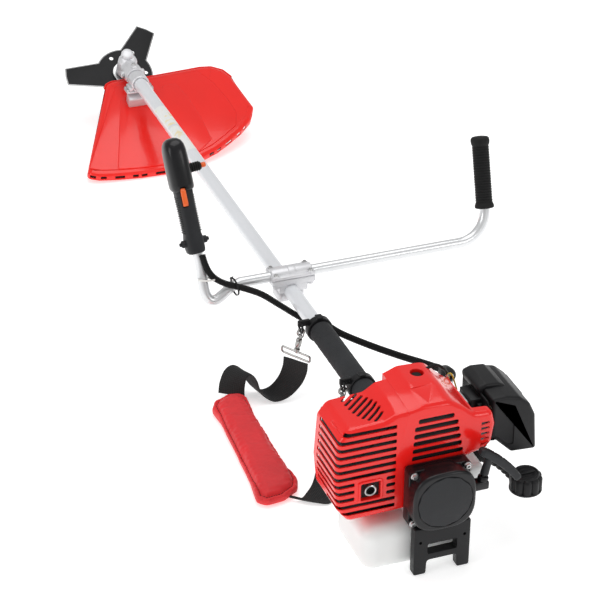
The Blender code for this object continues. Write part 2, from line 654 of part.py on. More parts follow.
def rounded_square(half, radius, steps):
    """A square outline with rounded corners, counter-clockwise."""
    points = []
    inner = half - radius
    for corner, (sx, sz) in enumerate(((1, 1), (-1, 1), (-1, -1), (1, -1))):
        for k in range(steps + 1):
            angle = math.pi / 2 * (corner + k / steps)
            points.append((sx * inner + radius * math.cos(angle),
                           sz * inner + radius * math.sin(angle)))
    return points


ROPE_EXIT = Vector((70.0, 21.0, 15.0))
ROPE_AXIS = Vector((0.24, 0.0, 0.97)).normalized()
HANDLE_BAR = Vector((0.75, 0.0, -0.66)).normalized()
HANDLE_RISE = 41.0                 # bar of the pull handle above the rope guide


def make_starter():
    """The recoil starter's housing and rope, and the handle that the rope ends in."""
    housing = outline_plate("starter_housing", [rounded_square(52.0, 20.0, 4)], 40, (0, 20, 0),
                            (1, 0, 0), (0, 0, 1), BLACK)
    flange = box("starter_flange", (-51, 51), (25, 46), (-50, 50), cutter=True, bevel=5)
    guide = box("rope_guide", (44, 78), (12, 30), (-2, 13), cutter=True, bevel=2)
    join(housing, flange, guide)
    room = cylinder("starter_room", (0, 44, 0), FORWARD, 42, 80, cutter=True)
    rope_way = cylinder("rope_way", tuple(ROPE_EXIT), ROPE_AXIS, 3.5, 60, cutter=True,
                        sides=SMALL_ROUND)
    cut(housing, room, rope_way)
    cylinder("starter_rope", tuple(ROPE_EXIT - ROPE_AXIS * 4), ROPE_AXIS, 2.0, 20, WHITE, sides=8)
    stem_length = HANDLE_RISE - 7
    stem = cylinder("starter_handle", tuple(ROPE_EXIT + ROPE_AXIS * (7 + stem_length / 2)),
                    ROPE_AXIS, 7.0, stem_length, BLACK, sides=SMALL_ROUND)
    middle = ROPE_EXIT + ROPE_AXIS * HANDLE_RISE
    arch = ((-22, -3), (-8, 0), (20, 1), (50, -2), (70, -7))
    grip = bar_curve("starter_bar", [tuple(middle + HANDLE_BAR * a + ROPE_AXIS * b) for a, b in arch],
                     8.5, None, resolution=2, cutter=True)
    join(stem, grip)


def make_stand():
    half = STAND_HALF_WIDTH
    floor = -AXIS_HEIGHT
    leg = 22
    outline = [(-half, -54), (-half, floor), (-half + leg, floor), (-half + leg, -110),
               (half - leg, -110), (half - leg, floor), (half, floor), (half, -54)]
    window = [(-half + leg, -99), (half - leg, -99), (half - leg, -80), (-half + leg, -80)]
    outline_plate("stand", [outline, window], 17, (1.5, 17, 0), (1, 0, 0), (0, 0, 1), BLACK)


# outlines as (x, z), counter-clockwise seen from behind
MUFFLER_OUTLINE = [(-46, -34), (-46, 146), (-70, 146), (-86, 134), (-143, 131), (-158, 112),
                   (-163, 40), (-158, -12), (-140, -36)]
CYLINDER_OUTLINE = [(-45, 40), (55, 40), (84, 47), (99, 56), (105, 92), (100, 101), (62, 108),
                    (44, 128), (22, 156), (-22, 158), (-45, 149)]
MUFFLER_END = 140.0
CYLINDER_END = 156.0


def inset(outline, amount):
    """Every corner of a counter-clockwise outline moved inwards by amount."""
    out = []
    for before, here, after in zip(outline[-1:] + outline, outline, outline[1:] + outline[:1]):
        a = (Vector(here) - Vector(before)).normalized()
        b = (Vector(after) - Vector(here)).normalized()
        normal = Vector((-a.y - b.y, a.x + b.x)) / (1 + a.dot(b))
        out.append(tuple(Vector(here) + normal * amount))
    return out


def hollow_cover(name, outline, end, open_side):
    """A red cover hollowed from its front; open_side moves the room's points past a wall."""
    depth = end - COVER_BACK
    cover = outline_plate(name, [outline], depth, (0, COVER_BACK + depth / 2, 0), (1, 0, 0),
                          (0, 0, 1), RED)
    room_outline = [open_side(x, z) for x, z in inset(outline, COVER_WALL)]
    room = outline_plate(name + "_room", [room_outline], depth + 10,
                         (0, COVER_BACK + COVER_WALL + (depth + 10) / 2, 0), (1, 0, 0), (0, 0, 1),
                         cutter=True)
    return cut(cover, room)


def make_covers():
    """The two red engine covers with their cooling slots, and the muffler under the left one."""
    muffler = hollow_cover("muffler_cover", MUFFLER_OUTLINE[::-1], MUFFLER_END,
                           lambda x, z: (-30, z) if x > -60 else (x, z))
    back_slots = slot_row("muffler_back_slots", (-150, -62), (30, 62),
                          [-20 + 13 * k for k in range(12) if k not in (2, 3)], 5.5)
    outlet = box("exhaust_window", (-122, -88), (30, 70), (0, 32), cutter=True)
    side_slots = slot_row("muffler_side_slots", (-190, -140), (66, 126),
                          [0 + 14 * k for k in range(8)], 5.0)
    cut(muffler, back_slots, outlet, side_slots)

    cover = hollow_cover("cylinder_cover", CYLINDER_OUTLINE, CYLINDER_END,
                         lambda x, z: (-60 if x < -30 else x, 20 if z < 62 and x < 60 else z))
    beside = box("cover_beside", (66, 140), (66, 200), (20, 130), cutter=True)
    grille = slot_row("cylinder_back_slots", (-36, 44), (30, 62), [58 + 13 * k for k in range(6)],
                      6.5)
    plug_hole = box("plug_hole", (-12, 14), (112, 150), (145, 175), cutter=True)
    vents = slot_row("cover_right_vents", (74, 88), (30, 62), [60 + 11 * k for k in range(4)], 5)
    cut(cover, beside, grille, plug_hole, vents)

    muffler_box = box("muffler", (-146, -54), (56, 132), (-22, 100), STEEL, bevel=9)
    pipe = cylinder("muffler_outlet", (-105, 54, 16), FORWARD, 9, 14, cutter=True,
                    sides=SMALL_ROUND)
    pipe_bore = cylinder("muffler_outlet_bore", (-105, 50, 16), FORWARD, 7, 30, cutter=True,
                         sides=SMALL_ROUND)
    join(muffler_box, pipe)
    cut(muffler_box, pipe_bore)


# ------------------------------------------------------------------ tank, carburettor, filter
CAP_X, CAP_Y = 157.0, 45.0
TANK_WALL = 2.5
NECK_ROUTE = [(76, 88, 4), (96, 88, 6), (114, 88, 0), (134, 88, -17), (152, 86, -38), (158, 74, -52),
              (158, 60, -56), (157, 47, -46), (157, 45, -38)]


def make_tank():
    """A rounded tank under the engine, with a tower and shoulder that carry the filler spout."""
    lower = (((-118, 62), (34, 162), (-134.5, -54)), 20)
    tower = (((46.5, 62), (50, 112), (-76, -4)), 3)
    shoulder = (((46.5, 86), (50, 112), (-24, 18)), 6)
    tank = box("fuel_tank", *lower[0], WHITE, bevel=lower[1], segments=2)
    join(tank, box("tank_tower", *tower[0], cutter=True, bevel=tower[1]),
         box("tank_shoulder", *shoulder[0], cutter=True, bevel=shoulder[1]))
    pipe = [tuple(p) for p in smooth_path(NECK_ROUTE, 12.0)]
    spout = bar_curve("tank_spout", pipe, 10.0, None, cutter=True)
    neck = cylinder("tank_neck", (CAP_X, CAP_Y, -38.5), UP, 17, 21, cutter=True)
    join(tank, spout, neck)
    for number, (limits, radius) in enumerate((tower, shoulder, lower)):
        inner = [(a + TANK_WALL, b - TANK_WALL) for a, b in limits]
        cut(tank, box(f"tank_room_{number}", *inner, cutter=True, bevel=max(radius - TANK_WALL, 1)))
    bore = bar_curve("tank_spout_bore", pipe, 7.5, None, cutter=True)
    cut(tank, bore, cylinder("neck_bore", (CAP_X, CAP_Y, -34), UP, 14, 22, cutter=True))
    turned("fuel_cap", [(0, -10), (20, -10), (26, -14), (26, -41), (17.8, -41), (17.8, -26),
                        (0, -26)], (CAP_X, CAP_Y, 0), UP, BLACK, sides=ROUND)


FILTER_BACK = 78.0
FILTER_FRONT = 184.0
FILTER_OUTLINE = [(108, 36), (118, 36), (146, 8), (189, 5), (184, 70), (174, 92), (156, 108),
                  (132, 114), (108, 114)]


def make_carburettor():
    """The carburettor with its levers and primer, then the air filter's base, element and cover."""
    carburettor = box("carburettor", (47, 84), (112, 147), (64, 96), SILVER, bevel=2)
    throat = cylinder("carburettor_throat", (65, CYLINDER_Y, 80), (1, 0, 0), 8.5, 60, cutter=True,
                      sides=SMALL_ROUND)
    pocket = cylinder("primer_pocket", (65, CYLINDER_Y, 64), UP, 10, 8, cutter=True,
                      sides=SMALL_ROUND)
    cut(carburettor, throat, pocket)
    cylinder("primer_bulb", (65, CYLINDER_Y, 59), UP, 8, 9, RUBBER, sides=SMALL_ROUND, top=9,
             bevel=1)
    box("carb_throttle_arm", (58, 74), (CYLINDER_Y - 4, CYLINDER_Y + 18), (97, 100), STEEL)
    base = box("air_filter_base", (85, 107), (FILTER_BACK + 6, FILTER_FRONT - 6), (22, 108), BLACK,
               bevel=3)
    waist = [box("base_waist_low", (80, 102), (60, 200), (0, 58), cutter=True),
             box("base_waist_high", (80, 102), (60, 200), (100, 140), cutter=True),
             box("base_waist_back", (80, 102), (60, 108), (50, 110), cutter=True),
             box("base_waist_front", (80, 102), (151, 200), (50, 110), cutter=True)]
    intake = cylinder("filter_intake", (100, CYLINDER_Y, 80), (1, 0, 0), 8.5, 60, cutter=True,
                      sides=SMALL_ROUND)
    cut(base, *waist, intake)
    box("choke_lever", (93, 101), (98, 104), (64, 96), BLACK, bevel=1)
    box("air_filter_element", (108, 132), (FILTER_BACK + 18, FILTER_FRONT - 18), (42, 96), PAPER,
        bevel=3)
    depth = FILTER_FRONT - FILTER_BACK
    middle = (0, (FILTER_FRONT + FILTER_BACK) / 2, 0)
    cover = outline_plate("air_filter_cover", [FILTER_OUTLINE], depth, middle, (1, 0, 0), (0, 0, 1),
                          BLACK)
    room_outline = [(80 if x < 115 else x, z) for x, z in inset(FILTER_OUTLINE, 2.5)]
    room = outline_plate("filter_room", [room_outline], depth - 6, middle, (1, 0, 0), (0, 0, 1),
                         cutter=True)
    cut(cover, room)


# ------------------------------------------------------------------ strap
def ribbon(name, stations, width, thickness, finish):
    """A flat band lofted through (centre, direction of its width) stations."""
    centres = [Vector(c) for c, _ in stations]
    bm = bmesh.new()
    rows = []
    for k, (centre, (_, side)) in enumerate(zip(centres, stations)):
        ahead = centres[min(k + 1, len(centres) - 1)] - centres[max(k - 1, 0)]
        side = Vector((*side, 0.0)) if len(side) == 2 else Vector(side)
        side = (side - ahead.normalized() * side.dot(ahead.normalized())).normalized()
        face = ahead.cross(side).normalized()
        row = []
        for a, b in ((-1, -1), (1, -1), (1, 1), (-1, 1)):
            spot = centre + side * (a * width / 2) + face * (b * thickness / 2)
            row.append(bm.verts.new(world(*spot)))
        rows.append(row)
    for lower, upper in zip(rows, rows[1:]):
        for k in range(4):
            bm.faces.new((lower[k], lower[(k + 1) % 4], upper[(k + 1) % 4], upper[k]))
    bm.faces.new(rows[0][::-1])
    bm.faces.new(rows[-1])
    bmesh.ops.recalc_face_normals(bm, faces=bm.faces)
    obj = finish_mesh(name, bm, finish, smooth=False)
    PARTS.objects.link(obj)
    return obj


WEBBING_WIDTH = 48.0
WEBBING_THICKNESS = 3.0
FRONT_HANG = Vector((-LUG_X, FRONT_HANGER_Y, RING_Z - RING_RADIUS))
REAR_HANG = Vector((-LUG_X, REAR_HANGER_Y, RING_Z - RING_RADIUS))
FRONT_LEAN = Vector((-0.2, 0.0, -0.98)).normalized()
REAR_LEAN = Vector((-0.37, -0.3, -0.88)).normalized()
SLIDER_DROP = 43.0                 # slider below the ring, along the hook
HOOK_RADIUS = 6.0
FRONT_STRAP = [((-42, 541, -55), (0.64, -0.77)), ((-43, 544, -76), (0.64, -0.77)),
               ((-50, 550, -101), (0.6, -0.8)), ((-67, 556, -123), (0.45, -0.89)),
               ((-88, 562, -130), (0.25, -0.97)), ((-106, 570, -116), (0.2, -0.98)),
               ((-114, 580, -94), (0.35, -0.93)), ((-124, 586, -84), (0.6, -0.8)),
               ((-136, 588, -90), (0.9, -0.4)), ((-144, 587, -110), (1.0, 0.0))]
REAR_STRAP = [((-51, 331, -50), (0.64, -0.77)), ((-57, 322, -76), (0.66, -0.75)),
              ((-70, 300, -108), (0.68, -0.73)), ((-88, 272, -127), (0.72, -0.69)),
              ((-106, 254, -132.5), (0.8, -0.6)), ((-120, 242, -133), (0.8, -0.6))]
PAD_OUTLINE = [(-199, 546), (-186, 566), (-155, 578), (-133, 576), (-122, 560), (-125, 292),
               (-136, 268), (-165, 252), (-200, 248), (-216, 264)]


def make_hook(name, hang, lean):
    """A trigger snap: a hooked top through the hanger's ring, then a barrel and a neck."""
    bends = 9
    hook = [hang + Vector((math.sin(a), 0, math.cos(a))) * HOOK_RADIUS
            for a in (math.radians(130 - 310 * k / bends) for k in range(bends + 1))]
    path = hook + [hang + lean * 14, hang + lean * 34]
    bar = bar_curve(name, [tuple(p) for p in path], 2.4, CHROME, resolution=1)
    barrel = cylinder(name + "_barrel", tuple(hang + lean * 22), lean, 5.5, 16, cutter=True,
                      sides=SMALL_ROUND)
    join(bar, barrel)


def make_strap():
    side = Vector((0.64, -0.77, -0.1)).normalized()
    for end, hang, lean in (("front", FRONT_HANG, FRONT_LEAN), ("rear", REAR_HANG, REAR_LEAN)):
        make_hook(f"{end}_snap_hook", hang, lean)
        middle = hang + lean * SLIDER_DROP
        corners = [(-28, 5.5), (28, 5.5), (28, -5.5), (-28, -5.5)]
        frame = [tuple(middle + side * a + Vector((0, 0, b))) for a, b in corners]
        bar_curve(f"{end}_strap_slider", frame, 1.8, CHROME, closed=True, resolution=1)
    ribbon("strap_front_webbing", FRONT_STRAP, WEBBING_WIDTH, WEBBING_THICKNESS, WEBBING)
    ribbon("strap_rear_webbing", REAR_STRAP, WEBBING_WIDTH, WEBBING_THICKNESS, WEBBING)
    pad = outline_plate("shoulder_pad", [PAD_OUTLINE], 20, (0, 0, -124), (1, 0, 0), (0, 1, 0),
                        PAD_RED)
    add_bevel(pad, 6, 2)


def build():
    make_shaft()
    make_hanger("front_hanger", FRONT_HANGER_Y, BLACK, SHAFT_RADIUS + GAP, 23)
    make_hanger("rear_hanger", REAR_HANGER_Y, BLACK, SLEEVE_RADIUS + GAP, 24)
    make_handlebar()
    make_plain_grip()
    make_throttle_grip()
    make_conduit()
    make_head()
    make_blade()
    make_guard()
    make_crank_train()
    make_crankcase()
    make_starter()
    make_stand()
    make_covers()
    make_tank()
    make_carburettor()
    make_strap()


build()
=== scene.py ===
# %% [markdown]
# # Petrol brush cutter
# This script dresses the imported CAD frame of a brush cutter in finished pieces.  Every piece is
# built where the CAD node it stands for sits, rides on that node's body, and takes a finish made
# of shader nodes.
#
# Lengths are millimetres in the machine's own frame, the one the CAD was drawn in: X to the
# right, Y forward along the shaft from the starter's back face, Z up from the crank axis.

import json
import math

import bmesh
import bpy
from mathutils import Matrix, Vector, noise

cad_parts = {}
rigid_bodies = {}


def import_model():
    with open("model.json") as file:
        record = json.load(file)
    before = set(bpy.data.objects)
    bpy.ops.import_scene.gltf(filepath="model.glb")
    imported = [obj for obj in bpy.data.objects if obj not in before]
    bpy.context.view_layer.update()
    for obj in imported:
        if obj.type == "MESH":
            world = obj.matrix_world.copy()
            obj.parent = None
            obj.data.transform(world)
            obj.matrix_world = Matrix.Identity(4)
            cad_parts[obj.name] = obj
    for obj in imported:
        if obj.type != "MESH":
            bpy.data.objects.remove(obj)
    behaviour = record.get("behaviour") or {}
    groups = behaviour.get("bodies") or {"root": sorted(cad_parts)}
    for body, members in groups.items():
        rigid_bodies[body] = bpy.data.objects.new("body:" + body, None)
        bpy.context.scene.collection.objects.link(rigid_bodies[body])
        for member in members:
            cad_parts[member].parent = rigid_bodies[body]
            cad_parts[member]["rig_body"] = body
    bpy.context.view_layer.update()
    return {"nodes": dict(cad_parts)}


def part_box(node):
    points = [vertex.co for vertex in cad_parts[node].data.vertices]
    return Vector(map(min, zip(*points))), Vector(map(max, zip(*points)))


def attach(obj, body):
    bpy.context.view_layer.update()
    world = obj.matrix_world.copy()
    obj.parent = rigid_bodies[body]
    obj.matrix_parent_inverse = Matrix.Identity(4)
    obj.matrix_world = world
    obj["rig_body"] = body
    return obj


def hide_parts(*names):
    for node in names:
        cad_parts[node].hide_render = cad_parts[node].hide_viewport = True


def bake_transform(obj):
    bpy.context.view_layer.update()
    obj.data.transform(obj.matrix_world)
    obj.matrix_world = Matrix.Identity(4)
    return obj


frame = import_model()
NODES = frame["nodes"]
MM = 0.001
shaft_low, shaft_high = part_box("shaft_tube")
starter_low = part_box("starter_housing")[0]
ORIGIN = Vector(((shaft_low.x + shaft_high.x) / 2, starter_low.y,
                 (shaft_low.z + shaft_high.z) / 2))
UP = Vector((0, 0, 1))
FORWARD = Vector((0, 1, 0))
RIGHT = Vector((1, 0, 0))
print(f"{len(NODES)} nodes, machine origin at {tuple(round(c, 4) for c in ORIGIN)} m")


def at(point):
    """A machine-frame point in mm as a world point in metres."""
    return ORIGIN + Vector(point) * MM


# %% [markdown]
# ## Floor, light and camera
# The machine lies on a white studio sweep.  One large soft light overhead and two at the sides
# leave long, quiet highlights on the gloss plastic and a faint shadow on the floor.  The camera
# stands behind and to the left with a long lens, so the shaft runs away up the frame.

# %% Studio
CAMERA_PLACE = Vector((-1.30297, -3.44539, 2.1545))
CAMERA_RIGHT = Vector((0.9365, -0.3507, 0.0076))
CAMERA_UP = Vector((0.1725, 0.4792, 0.8606))
CAMERA_BACK = Vector((-0.3054, -0.8046, 0.5093))
LENS = 136.0
SENSOR = 36.0
FLOOR_GLOW = 0.5


def set_camera():
    data = bpy.data.cameras.new("view")
    data.lens = LENS
    data.sensor_width = SENSOR
    data.sensor_fit = "HORIZONTAL"
    data.clip_end = 50.0
    camera = bpy.data.objects.new("view", data)
    turn = Matrix((CAMERA_RIGHT, CAMERA_UP, CAMERA_BACK)).transposed().to_4x4()
    camera.matrix_world = Matrix.Translation(CAMERA_PLACE) @ turn
    bpy.context.scene.collection.objects.link(camera)
    bpy.context.scene.camera = camera


def soft_light(name, place, target, size, power):
    data = bpy.data.lights.new(name, "AREA")
    data.shape = "RECTANGLE"
    data.size, data.size_y = size
    data.energy = power
    light = bpy.data.objects.new(name, data)
    aim = (Vector(target) - Vector(place)).to_track_quat("-Z", "Y")
    light.matrix_world = Matrix.Translation(Vector(place)) @ aim.to_matrix().to_4x4()
    bpy.context.scene.collection.objects.link(light)


def set_world(lighting, backdrop):
    """An even white world: a dim one as a light, and a full white one as the backdrop."""
    world = bpy.data.worlds.new("studio")
    world.use_nodes = True
    tree = world.node_tree
    background = tree.nodes["Background"]
    background.inputs["Color"].default_value = (1.0, 1.0, 1.0, 1.0)
    seen = tree.nodes.new("ShaderNodeLightPath")
    strength = tree.nodes.new("ShaderNodeMapRange")
    strength.inputs["To Min"].default_value = lighting
    strength.inputs["To Max"].default_value = backdrop
    tree.links.new(seen.outputs["Is Camera Ray"], strength.inputs["Value"])
    tree.links.new(strength.outputs["Result"], background.inputs["Strength"])
    bpy.context.scene.world = world


def make_floor():
    bm = bmesh.new()
    bmesh.ops.create_grid(bm, x_segments=1, y_segments=1, size=9.0)
    mesh = bpy.data.meshes.new("floor")
    bm.to_mesh(mesh)
    bm.free()
    floor = bpy.data.objects.new("floor", mesh)
    bpy.context.scene.collection.objects.link(floor)
    return floor


set_camera()
set_world(0.5, 1.0)
soft_light("overhead", (0.2, 0.2, 3.2), (0.0, 0.0, 0.0), (2.2, 3.0), 42)
soft_light("left", (-3.0, -1.2, 1.6), (0.0, 0.0, 0.1), (1.2, 1.6), 20)
soft_light("front", (1.6, -3.2, 1.8), (0.1, -0.6, 0.1), (1.0, 1.2), 14)
floor = make_floor()
bpy.context.scene.view_settings.view_transform = "Standard"
print("camera, three lights and a floor")

# %% [markdown]
# ## Shared shader effects
# Three node groups carry what the finishes have in common: a fine moulding grain, slow dirt and
# wear, and a woven cloth.  Each gives masks and normals that vary over the surface; the plain
# numbers, such as metallic, are set on each material's own shader.


# %% Node groups
def new_group(name, inputs, outputs):
    """An empty shader group with float or vector sockets, and its two end nodes."""
    group = bpy.data.node_groups.new(name, "ShaderNodeTree")
    for label, kind, value in inputs:
        socket = group.interface.new_socket(label, in_out="INPUT", socket_type=kind)
        if value is not None:
            socket.default_value = value
    for label, kind in outputs:
        group.interface.new_socket(label, in_out="OUTPUT", socket_type=kind)
    start = group.nodes.new("NodeGroupInput")
    end = group.nodes.new("NodeGroupOutput")
    return group, start, end


def join_sockets(group, *pairs):
    for a, b in pairs:
        group.links.new(a, b)


def value_range(group, source, low, high, to_low=0.0, to_high=1.0):
    node = group.nodes.new("ShaderNodeMapRange")
    for label, number in (("From Min", low), ("From Max", high), ("To Min", to_low),
                          ("To Max", to_high)):
        node.inputs[label].default_value = number
    group.links.new(source, node.inputs["Value"])
    return node.outputs["Result"]


FLOAT, VECTOR = "NodeSocketFloat", "NodeSocketVector"


def make_grain_group():
    """Fine moulded or cast grain: a bumped normal and the grain itself as a mask."""
    group, start, end = new_group(
        "moulding_grain",
        [("Vector", VECTOR, None), ("Scale", FLOAT, 600.0), ("Depth", FLOAT, 0.1)],
        [("Normal", VECTOR), ("Mask", FLOAT)])
    fine = group.nodes.new("ShaderNodeTexNoise")
    fine.inputs["Detail"].default_value = 3.0
    coarse = group.nodes.new("ShaderNodeTexNoise")
    coarse.inputs["Detail"].default_value = 2.0
    slower = group.nodes.new("ShaderNodeMath")
    slower.operation = "MULTIPLY"
    slower.inputs[1].default_value = 0.12
    total = group.nodes.new("ShaderNodeMath")
    total.operation = "ADD"
    bump = group.nodes.new("ShaderNodeBump")
    bump.inputs["Distance"].default_value = 0.0004
    join_sockets(group, (start.outputs["Vector"], fine.inputs["Vector"]),
                 (start.outputs["Vector"], coarse.inputs["Vector"]),
                 (start.outputs["Scale"], fine.inputs["Scale"]),
                 (start.outputs["Scale"], slower.inputs[0]),
                 (slower.outputs[0], coarse.inputs["Scale"]),
                 (fine.outputs["Fac"], total.inputs[0]),
                 (coarse.outputs["Fac"], total.inputs[1]),
                 (start.outputs["Depth"], bump.inputs["Strength"]),
                 (total.outputs[0], bump.inputs["Height"]),
                 (bump.outputs["Normal"], end.inputs["Normal"]))
    group.links.new(value_range(group, fine.outputs["Fac"], 0.35, 0.65), end.inputs["Mask"])
    return group


def make_wear_group():
    """Slow cloudy dirt, and short fine scratches, as two masks."""
    group, start, end = new_group(
        "wear", [("Vector", VECTOR, None), ("Scale", FLOAT, 9.0)],
        [("Dirt", FLOAT), ("Scratches", FLOAT)])
    cloud = group.nodes.new("ShaderNodeTexNoise")
    cloud.inputs["Detail"].default_value = 6.0
    cloud.inputs["Roughness"].default_value = 0.65
    stretch = group.nodes.new("ShaderNodeMapping")
    stretch.inputs["Scale"].default_value = (2.0, 26.0, 30.0)
    stretch.inputs["Rotation"].default_value = (0.5, 0.7, 0.4)
    lines = group.nodes.new("ShaderNodeTexNoise")
    lines.inputs["Detail"].default_value = 8.0
    join_sockets(group, (start.outputs["Vector"], cloud.inputs["Vector"]),
                 (start.outputs["Scale"], cloud.inputs["Scale"]),
                 (start.outputs["Vector"], stretch.inputs["Vector"]),
                 (stretch.outputs["Vector"], lines.inputs["Vector"]),
                 (start.outputs["Scale"], lines.inputs["Scale"]))
    group.links.new(value_range(group, cloud.outputs["Fac"], 0.4, 0.75), end.inputs["Dirt"])
    group.links.new(value_range(group, lines.outputs["Fac"], 0.62, 0.72), end.inputs["Scratches"])
    return group


def make_weave_group():
    """Crossing threads in UV space: their height as a normal, and a mask of the gaps, which the cloth
    finishes paint darker as shade.
    """
    group, start, end = new_group(
        "weave",
        [("Vector", VECTOR, None), ("Threads", FLOAT, 60.0), ("Depth", FLOAT, 0.4)],
        [("Normal", VECTOR), ("Gaps", FLOAT)])
    waves = []
    for direction in ("X", "Y"):
        wave = group.nodes.new("ShaderNodeTexWave")
        wave.bands_direction = direction
        wave.inputs["Distortion"].default_value = 0.6
        wave.inputs["Detail Scale"].default_value = 3.0
        join_sockets(group, (start.outputs["Vector"], wave.inputs["Vector"]),
                     (start.outputs["Threads"], wave.inputs["Scale"]))
        waves.append(wave)
    product = group.nodes.new("ShaderNodeMath")
    product.operation = "MULTIPLY"
    bump = group.nodes.new("ShaderNodeBump")
    bump.inputs["Distance"].default_value = 0.0005
    join_sockets(group, (waves[0].outputs["Fac"], product.inputs[0]),
                 (waves[1].outputs["Fac"], product.inputs[1]),
                 (product.outputs[0], bump.inputs["Height"]),
                 (start.outputs["Depth"], bump.inputs["Strength"]),
                 (bump.outputs["Normal"], end.inputs["Normal"]),
                 (product.outputs[0], end.inputs["Gaps"]))
    return group


GRAIN = make_grain_group()
WEAR = make_wear_group()
WEAVE = make_weave_group()
print("shader groups:", GRAIN.name, WEAR.name, WEAVE.name)

# %% [markdown]
# ## Finishes
# Moulded plastics, enamel, cast metal and steel share one recipe: a colour that drifts a little
# with the dirt mask, roughness that rises in it, and the grain as a normal.  Cloth and webbing
# take the weave instead.


# %% Materials
def mix_colours(tree, factor, first, second):
    node = tree.nodes.new("ShaderNodeMix")
    node.data_type = "RGBA"
    node.inputs["A"].default_value = (*first, 1.0)
    node.inputs["B"].default_value = (*second, 1.0)
    tree.links.new(factor, node.inputs["Factor"])
    return node.outputs["Result"]


def shade_of(colour, share):
    return tuple(min(1.0, c * share) for c in colour)


def use_group(tree, group, vector, **values):
    node = tree.nodes.new("ShaderNodeGroup")
    node.node_tree = group
    tree.links.new(vector, node.inputs["Vector"])
    for label, number in values.items():
        node.inputs[label].default_value = number
    return node


def new_material(name):
    material = bpy.data.materials.new(name)
    material.use_nodes = True
    tree = material.node_tree
    place = tree.nodes.new("ShaderNodeTexCoord")
    return material, tree, tree.nodes["Principled BSDF"], place


def hard_finish(name, colour, roughness, metallic=0.0, grain=700.0, depth=0.05, drift=0.82,
                rough_drift=0.04, coat=0.0, subsurface=0.0, speckle=None,
                specular=0.5):
    """A moulded, cast, painted or bare metal surface."""
    material, tree, shader, place = new_material(name)
    wear = use_group(tree, WEAR, place.outputs["Object"], Scale=9.0)
    fine = use_group(tree, GRAIN, place.outputs["Object"], Scale=grain, Depth=depth)
    tint = mix_colours(tree, wear.outputs["Dirt"], colour, shade_of(colour, drift))
    if speckle:
        node = tree.nodes.new("ShaderNodeMix")
        node.data_type = "RGBA"
        node.inputs["B"].default_value = (*speckle, 1.0)
        amount = value_range(tree, fine.outputs["Mask"], 0.7, 1.0, 0.0, 0.5)
        tree.links.new(amount, node.inputs["Factor"])
        tree.links.new(tint, node.inputs["A"])
        tint = node.outputs["Result"]
    tree.links.new(tint, shader.inputs["Base Color"])
    rough = value_range(tree, wear.outputs["Scratches"], 0.0, 1.0, roughness,
                        min(1.0, roughness + rough_drift))
    tree.links.new(rough, shader.inputs["Roughness"])
    tree.links.new(fine.outputs["Normal"], shader.inputs["Normal"])
    shader.inputs["Metallic"].default_value = metallic
    shader.inputs["Specular IOR Level"].default_value = specular
    shader.inputs["Coat Weight"].default_value = coat
    shader.inputs["Coat Roughness"].default_value = 0.08
    shader.inputs["Subsurface Weight"].default_value = subsurface
    shader.inputs["Subsurface Radius"].default_value = (0.03, 0.03, 0.03)
    shader.inputs["Subsurface Scale"].default_value = 0.4
    return material


def cloth_finish(name, colour, dark, threads, depth, sheen, roughness=0.85):
    """Woven cloth or webbing, with its threads along the piece's own UV directions and painted shade in the
    gaps between them.
    """
    material, tree, shader, place = new_material(name)
    weave = use_group(tree, WEAVE, place.outputs["UV"], Threads=threads, Depth=depth)
    wear = use_group(tree, WEAR, place.outputs["Object"], Scale=14.0)
    # Painted shade: the gaps between the threads take the dark colour, the thread tops the cloth's own
    # colour.
    shaded = mix_colours(tree, weave.outputs["Gaps"], dark, colour)
    node = tree.nodes.new("ShaderNodeMix")
    node.data_type = "RGBA"
    node.blend_type = "MULTIPLY"
    node.inputs["B"].default_value = (0.8, 0.8, 0.8, 1.0)
    tree.links.new(wear.outputs["Dirt"], node.inputs["Factor"])
    tree.links.new(shaded, node.inputs["A"])
    tree.links.new(node.outputs["Result"], shader.inputs["Base Color"])
    tree.links.new(weave.outputs["Normal"], shader.inputs["Normal"])
    shader.inputs["Roughness"].default_value = roughness
    shader.inputs["Sheen Weight"].default_value = sheen
    shader.inputs["Sheen Roughness"].default_value = 0.5
    return material


GLOSS_RED = hard_finish("gloss_red", (0.9, 0.012, 0.009), 0.2, grain=420, depth=0.02, drift=0.93,
                        coat=0.3, specular=0.35)
GUARD_RED = hard_finish("guard_red", (0.92, 0.016, 0.01), 0.2, grain=300, depth=0.02, drift=0.93,
                        coat=0.3, specular=0.35)
MATT_BLACK = hard_finish("matt_black", (0.009, 0.009, 0.01), 0.42, grain=900, depth=0.16,
                         drift=1.5, specular=0.25)
GLOSS_BLACK = hard_finish("gloss_black", (0.005, 0.005, 0.006), 0.3, grain=500, depth=0.03,
                          drift=1.5, coat=0.1, specular=0.3)
PLATE_BLACK = hard_finish("plate_black", (0.015, 0.016, 0.018), 0.5, grain=1400, depth=0.25,
                          drift=1.4, specular=0.3)
RUBBER = hard_finish("rubber", (0.008, 0.008, 0.008), 0.62, grain=1100, depth=0.2, drift=1.6,
                     specular=0.22)
FOAM = hard_finish("foam", (0.014, 0.015, 0.017), 0.85, grain=1700, depth=0.7, drift=1.8,
                   speckle=(0.05, 0.05, 0.05))
ENAMEL = hard_finish("silver_enamel", (0.8, 0.815, 0.84), 0.3, metallic=0.12, grain=1500,
                     depth=0.04, drift=0.95, coat=0.3)
BAR_SILVER = hard_finish("bar_silver", (0.78, 0.79, 0.8), 0.28, metallic=0.6, grain=1500,
                         depth=0.05, drift=0.93, coat=0.2)
CAST = hard_finish("cast_alloy", (0.76, 0.76, 0.78), 0.4, metallic=0.4, grain=900, depth=0.3,
                   drift=0.85, speckle=(0.6, 0.6, 0.62))
STEEL = hard_finish("steel", (0.6, 0.6, 0.6), 0.3, metallic=1.0, grain=800, depth=0.08, drift=0.8)
DARK_STEEL = hard_finish("dark_steel", (0.035, 0.035, 0.036), 0.6, metallic=0.6, grain=500,
                         depth=0.3, drift=0.6)
